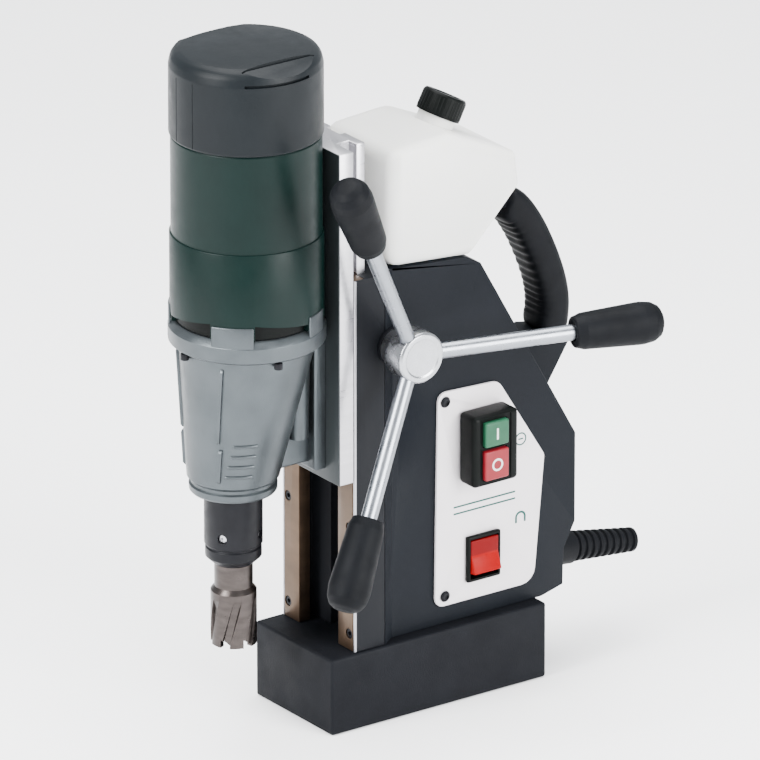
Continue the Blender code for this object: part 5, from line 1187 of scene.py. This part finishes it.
def make_motor_shell():
    """The green shell, with arched air inlets at its foot and a step where its lower half is wider."""
    lowest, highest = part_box("motor_housing")
    outer = (highest.x - lowest.x) / 2
    wall = 0.003
    back = highest.y
    step_z = lowest.z + 0.055
    slim = outer - 0.0009

    def section(radius, z, rear):
        return [Vector((x, y, z)) for x, y in clipped_circle((0, MOTOR.y), radius, rear, 128)]

    shell = loft(
        "green_motor_shell",
        [
            section(outer - 0.0006, lowest.z, back),
            section(outer, lowest.z + 0.0006, back),
            section(outer, step_z - 0.0006, back),
            section(outer - 0.0002, step_z - 0.0002, back),
            section(slim, step_z, back),
            section(slim, highest.z - 0.0008, back),
            section(slim - 0.0006, highest.z, back),
        ],
    )
    bore = loft(
        "bore",
        [
            section(outer - wall, lowest.z - 0.01, back - wall),
            section(outer - wall, highest.z + 0.01, back - wall),
        ],
    )
    cut(shell, bore)
    toward = math.radians
    inlets = []
    for first, last, near, far in (
        (-29, 17, 0.0100, 0.0045),
        (-63, -112, 0.0100, 0.0040),
        (-151, -197, 0.0100, 0.0045),
        (-117, -113, 0.0100, 0.0040),
    ):
        inlets.append(
            sector(
                "inlet",
                MOTOR_PLACE,
                outer - wall - 0.002,
                outer + 0.002,
                lowest.z - 0.001,
                lowest.z + near,
                toward(first),
                toward(last),
                24,
                lowest.z + far,
            )
        )
    cut(shell, *inlets)
    dress(shell, "green_shell", "carriage", "green_shell", "motor_housing")

    guard_outer = outer - wall - 0.0004
    guard = lathe(
        "fan_guard",
        tube(guard_outer - 0.0010, guard_outer, lowest.z + 0.0002, lowest.z + 0.030),
        MOTOR_PLACE,
        Z_AXIS,
        96,
        True,
    )
    rear_clear = rounded_box("rear_clear", (-0.1, back - wall - 0.0004, 0.2), (0.1, 0.0, 0.4), 0)
    cut(guard, rear_clear)
    dress(guard, "switch_plastic", "carriage", "dark_shell")


def make_motor_cap():
    """The dark cap: a shallow dome with a sloping flat and a long groove on each side."""
    lowest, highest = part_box("motor_cap")
    outer = (highest.x - lowest.x) / 2
    top = highest.z
    foot = lowest.z
    wall = 0.003
    profile = [
        (0, top),
        (0.020, top - 0.0004),
        (0.034, top - 0.0014),
        (0.0395, top - 0.0024),
        (0.0432, top - 0.0042),
        (0.0452, top - 0.0072),
        (outer - 0.0001, top - 0.0120),
        (outer, foot + 0.0012),
        (outer - 0.0008, foot),
        (outer - wall, foot),
        (outer - wall, top - 0.020),
        (0.038, top - 0.012),
        (0.0142, top - 0.0085),
        (0.0142, top - 0.026),
        (0.0113, top - 0.026),
        (0.0113, top - 0.0167),
        (0, top - 0.0167),
    ]
    cap = lathe("motor_cap_dome", fillet(profile, 0.006, 5), MOTOR_PLACE, Z_AXIS, 128)
    toward = math.radians
    for side in (-1, 1):
        # A sloping flat on the shoulder, with a shadow line along its upper edge.
        inner_x = 0.0325
        outer_x = outer + 0.003
        fall = 0.42
        front = MOTOR.y - 0.0260
        rear = MOTOR.y + 0.0260
        upper = top - 0.0026
        flat = []
        for y in (front, rear):
            flat.append(
                [
                    Vector((side * inner_x, y, upper)),
                    Vector((side * outer_x, y, upper - fall * (outer_x - inner_x))),
                    Vector((side * outer_x, y, top + 0.004)),
                    Vector((side * inner_x, y, top + 0.004)),
                ]
            )
        cut(cap, loft("flat", flat if side < 0 else flat[::-1]))
        line_low = (min(side * inner_x, side * (inner_x + 0.0012)), front, upper - 0.0016)
        line_high = (max(side * inner_x, side * (inner_x + 0.0012)), rear, upper + 0.003)
        cut(cap, rounded_box("shadow_line", line_low, line_high, 0))
    slots = []
    for first, last in ((-36, 19), (161, 216)):
        groove = (MOTOR_PLACE, outer - 0.0022, outer + 0.01, top - 0.0122, top - 0.0104)
        slots.append(sector("groove", *groove, toward(first), toward(last), 30))
    cut(cap, *slots)
    for angle in (-78.0, -98.0, -132.0):
        outward = Vector((math.cos(toward(angle)), math.sin(toward(angle)), 0))
        start = MOTOR_PLACE + outward * (outer + 0.0001) + Z_AXIS * (foot - 0.01)
        end = MOTOR_PLACE + outward * (outer + 0.0001) + Z_AXIS * (top - 0.014)
        cut(cap, bar("line", start, end, 0.0005, 8))
    dress(cap, "dark_shell", "carriage", "dark_shell", "motor_cap")


# ---------------------------------------------------------------- cutter and arbor


def make_arbor():
    lowest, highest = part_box("arbor")
    radius = (highest.x - lowest.x) / 2
    bore = 0.0098
    profile = [
        (bore, lowest.z),
        (0.0122, lowest.z),
        (radius - 0.0006, lowest.z + 0.0048),
        (radius - 0.0006, lowest.z + 0.0105),
        (radius - 0.0014, lowest.z + 0.0112),
        (radius - 0.0014, lowest.z + 0.0122),
        (radius, lowest.z + 0.0130),
        (radius, highest.z - 0.0012),
        (radius - 0.0012, highest.z),
        (bore, highest.z),
    ]
    arbor = lathe("black_arbor", fillet(profile, 0.0006, 3, True), SPINDLE_PLACE, Z_AXIS, 96, True)
    hole_z = lowest.z + 0.020
    for angle in (-58.0, 32.0):
        outward = Vector((math.cos(math.radians(angle)), math.sin(math.radians(angle)), 0))
        place = SPINDLE_PLACE + Z_AXIS * hole_z
        hole_foot = place + outward * (radius - 0.0035)
        cut(arbor, bar("set_screw_hole", hole_foot, place + outward * (radius + 0.003), 0.0030, 32))
        screw_foot = place + outward * (radius - 0.0033)
        screw = lathe(
            f"set_screw_{int(angle) % 360}",
            fillet([(0.0, 0.0), (0.0027, 0.0), (0.0027, 0.0014), (0, 0.0014)], 0.0003, 2),
            screw_foot,
            outward,
            24,
        )
        profile = [(0, 0.0004), (0.0013, 0.0004), (0.0013, 0.003), (0, 0.003)]
        socket = lathe("socket", profile, screw_foot, outward, 6)
        cut(screw, socket)
        dress(screw, "ground_steel", "spindle_unit", "machined_steel")
    dress(arbor, "blackened_steel", "spindle_unit", "blackened_steel", "arbor")


def make_cutter():
    """The annular cutter: helical flutes, and teeth at its tip."""
    lowest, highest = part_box("annular_cutter")
    radius = (highest.x - lowest.x) / 2
    tip = lowest.z
    step = tip + 0.035
    shoulder = low("arbor").z - GAP
    bore = radius * 0.75
    hollow_top = tip + 0.031
    shank = 0.0095
    neck = 0.0117
    pin_bore = 0.0034
    profile = [
        (shank, highest.z),
        (shank, shoulder),
        (neck, shoulder),
        (neck, step + 0.0020),
        (radius - 0.0006, step),
        (radius, step - 0.0008),
        (radius, tip),
        (bore, tip),
        (bore, hollow_top),
        (pin_bore, hollow_top),
        (pin_bore, highest.z),
    ]
    cutter = lathe("fluted_cutter", profile, SPINDLE_PLACE, Z_AXIS, 96, True)
    flutes = 6
    lead = math.radians(38)
    for i in range(flutes):
        start_angle = math.tau * i / flutes
        sections = []
        steps = 12
        for k in range(steps + 1):
            share = k / steps
            z = tip - 0.002 + (step - tip - 0.001) * share
            angle = start_angle + lead * share
            floor = radius - 0.0017 + (0.0022 * max(0.0, share - 0.75) * 4)
            half = 0.17
            corners = []
            past = radius + 0.002
            for r, offset in ((floor, -half), (past, -half * 1.3), (past, half * 1.3), (floor, half)):
                turned = angle + offset
                corners.append(SPINDLE_PLACE + Vector((r * math.cos(turned), r * math.sin(turned), z)))
            sections.append(corners)
        flute = loft("flute", sections)
        gullet = sector(
            "gullet", SPINDLE_PLACE, bore - 0.003, radius + 0.003, tip - 0.002, tip + 0.0052,
            start_angle - 0.17, start_angle + 0.26, 6, tip + 0.0015,
        )
        cut(cutter, flute, gullet)
    dress(cutter, "cutter_steel", "spindle_unit", "tool_steel", "annular_cutter")


def make_pilot():
    lowest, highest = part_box("pilot_pin")
    head = (highest.x - lowest.x) / 2
    pin = 0.0031
    head_low = highest.z - 0.005
    profile = [
        (0, highest.z),
        (head, highest.z),
        (head, head_low),
        (pin, head_low),
        (pin, lowest.z + 0.0022),
        (0, lowest.z),
    ]
    piece = lathe("centring_pin", fillet(profile, 0.0004, 3), SPINDLE_PLACE, Z_AXIS, 40)
    dress(piece, "ground_steel", "pilot", "tool_steel", "pilot_pin")


# ---------------------------------------------------------------- feed handles


def make_feed():
    lowest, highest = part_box("feed_hub")
    radius = (highest.z - lowest.z) / 2
    end = highest.x
    start = lowest.x
    bore = 0.0063
    collar = 0.0130
    rods_x = start + (end - start) * 0.62
    profile = [
        (0, end - 0.0006),
        (radius - 0.0046, end - 0.0006),
        (radius - 0.0036, end),
        (radius - 0.0012, end - 0.0002),
        (radius, end - 0.0014),
        (radius, rods_x - 0.0068),
        (radius - 0.0010, rods_x - 0.0078),
        (collar, rods_x - 0.0086),
        (collar, start + 0.0006),
        (collar - 0.0006, start),
        (bore, start),
        (bore, end - 0.0095),
        (0, end - 0.0095),
    ]
    hub = lathe("turned_hub", fillet(profile, 0.0008, 3), FEED_PLACE, X_AXIS, 96)
    sockets = []
    for number in (1, 2, 3):
        rod = frame["nodes"][f"feed_rod_{number}"]
        start_point, direction, length = bar_axis(rod)
        sockets.append(bar("socket", start_point, start_point + direction * 0.03, 0.0053, 40))
        grip = frame["nodes"][f"feed_grip_{number}"]
        make_rod(number, start_point, direction, length)
        make_grip(number, start_point, direction, grip)
    cut(hub, *sockets)
    dress(hub, "satin_chrome", "feed_star", "chrome", "feed_hub")

    cap_low, cap_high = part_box("feed_shaft_cap")
    cap_radius = (cap_high.z - cap_low.z) / 2
    outer = -cap_low.x
    inner = -cap_high.x
    profile = [
        (0, outer - 0.0003),
        (cap_radius - 0.0030, outer),
        (cap_radius - 0.0008, outer - 0.0006),
        (cap_radius, outer - 0.0020),
        (cap_radius, inner),
        (bore, inner),
        (bore, outer - 0.0027),
        (0, outer - 0.0027),
    ]
    cap = lathe("round_shaft_cap", fillet(profile, 0.0006, 3), FEED_PLACE, -X_AXIS, 64)
    dress(cap, "switch_plastic", "feed_star", "switch_plastic", "feed_shaft_cap")


def bar_axis(node):
    """The start, direction and length of a straight bar, from its vertices: its ends are far apart."""
    points = [vertex.co.copy() for vertex in node.data.vertices]
    centre = sum(points, Vector()) / len(points)
    far = max(points, key=lambda point: (point - centre).length)
    towards = (far - centre).normalized()
    for _ in range(2):
        one_end = [point for point in points if (point - centre).dot(towards) > 0]
        other_end = [point for point in points if (point - centre).dot(towards) <= 0]
        first = sum(one_end, Vector()) / len(one_end)
        second = sum(other_end, Vector()) / len(other_end)
        towards = (first - second).normalized()
    if towards.x < 0:
        towards = -towards
    levels = [(point - centre).dot(towards) for point in points]
    start = centre + towards * min(levels)
    return start, towards, max(levels) - min(levels)


def make_rod(number, start, direction, length):
    radius = 0.0050
    profile = [
        (0, 0),
        (radius - 0.0006, 0),
        (radius, 0.0006),
        (radius, length - 0.0006),
        (radius - 0.0006, length),
        (0, length),
    ]
    rod = lathe(f"feed_bar_{number}", profile, start, direction, 40)
    dress(rod, "zinc_rod", "feed_star", "chrome", f"feed_rod_{number}")


def make_grip(number, start, direction, node):
    offsets = [vertex.co - start for vertex in node.data.vertices]
    levels = [offset.dot(direction) for offset in offsets]
    reach = [(offset - direction * level).length for offset, level in zip(offsets, levels)]
    first = min(levels)
    length = max(levels) - first
    radius = max(reach) * 0.985
    bore = 0.0053
    neck = 0.0100
    profile = [
        (0, length),
        (radius * 0.42, length - 0.0006),
        (radius * 0.74, length - 0.0028),
        (radius * 0.93, length - 0.0072),
        (radius, length - 0.0135),
        (radius, length * 0.72),
        (radius * 0.97, length * 0.58),
        (neck + 0.0012, length * 0.10),
        (neck + 0.0002, 0.0030),
        (neck - 0.0004, 0.0006),
        (neck - 0.0014, 0.0),
        (bore, 0.0),
        (bore, length * 0.80),
        (0, length * 0.80),
    ]
    foot = start + direction * first
    grip = lathe(f"rubber_grip_{number}", fillet(profile, 0.004, 4), foot, direction, 64)
    dress(grip, "grip_rubber", "feed_star", "grip_rubber", f"feed_grip_{number}")


# ---------------------------------------------------------------- CAD nodes that stay


def paint_inner_nodes():
    for nodes, material, slot in (
        (("coil_front", "coil_rear", "stator"), "copper_winding", "copper_winding"),
        (("slot_cover_front", "slot_cover_rear"), "gib_brass", "brass"),
        (("circuit_board",), "circuit_board", "circuit"),
        (("feed_rack", "feed_pinion_shaft", "spindle_gear", "layshaft"), "cutter_steel", "tool_steel"),
        (("spindle", "armature", "pilot_spring"), "ground_steel", "machined_steel"),
        (
            (
                "spindle_bearing_lower",
                "spindle_bearing_upper",
                "motor_bearing_lower",
                "motor_bearing_upper",
            ),
            "ground_steel",
            "machined_steel",
        ),
        (("gear_cover",), "cast_aluminium", "cast_aluminium"),
        (("cooling_fan",), "switch_plastic", "dark_shell"),
        (("tank_cap_seal",), "grip_rubber", "grip_rubber"),
    ):
        for node in nodes:
            paint_node(node, material)


# ---------------------------------------------------------------- stage


def camera_axes():
    a, e = CAMERA_AZIMUTH, CAMERA_ELEVATION
    back = Vector((math.sin(a) * math.cos(e), -math.cos(a) * math.cos(e), math.sin(e)))
    right = Vector((math.cos(a), math.sin(a), 0))
    return back, right, back.cross(right)


def make_camera():
    back, right, up = camera_axes()
    data = bpy.data.cameras.new("camera")
    data.sensor_width = SENSOR_WIDTH
    data.lens = SENSOR_WIDTH * CAMERA_DISTANCE / FRAME_WIDTH
    data.clip_end = 100.0
    camera = bpy.data.objects.new("camera", data)
    camera.location = Z_AXIS * AIM_HEIGHT + back * CAMERA_DISTANCE + right * AIM_RIGHT + up * AIM_UP
    camera.rotation_mode = "QUATERNION"
    camera.rotation_quaternion = (-back).to_track_quat("-Z", "Y")
    bpy.context.scene.collection.objects.link(camera)
    bpy.context.scene.camera = camera


def make_light(name, place, aim, size, power):
    data = bpy.data.lights.new(name, "AREA")
    data.shape = "RECTANGLE"
    data.size, data.size_y = size
    data.energy = power
    light = bpy.data.objects.new(name, data)
    light.location = place
    light.rotation_mode = "QUATERNION"
    light.rotation_quaternion = (Vector(aim) - Vector(place)).to_track_quat("-Z", "Y")
    bpy.context.scene.collection.objects.link(light)


def make_stage():
    """A pale floor, an even sky and three soft lights."""
    size = 12.0
    floor = rounded_box("floor", (-size, -size, -0.020), (size, size, -0.0002), 0)
    floor.data.materials.append(MATERIAL["pale_floor"])

    world = bpy.data.worlds.new("studio")
    world.use_nodes = True
    sky = world.node_tree.nodes["Background"]
    sky.inputs["Color"].default_value = (0.93, 0.96, 1.0, 1.0)
    sky.inputs["Strength"].default_value = SKY_STRENGTH
    bpy.context.scene.world = world

    _, right, _ = camera_axes()
    ahead = Vector((math.sin(CAMERA_AZIMUTH), -math.cos(CAMERA_AZIMUTH), 0))
    aim = Z_AXIS * 0.22
    for name, forward, across, height, size, power in LIGHTS:
        make_light(name, aim + ahead * forward + right * across + Z_AXIS * height, aim, size, power)


# ---------------------------------------------------------------- assembly

make_camera()
make_foot()
make_housing()
make_column()
make_gibs()
make_bushings()
make_panel()
make_push_switch()
make_rocker_switch()
make_tank()
make_tank_cap()
make_carry_handle()
make_boot()
make_slide()
make_gearcase()
make_gearcase_ribs()
make_flange_tabs()
make_flange_screws()
make_motor_shell()
make_motor_cap()
make_arbor()
make_cutter()
make_pilot()
make_feed()
paint_inner_nodes()
make_stage()
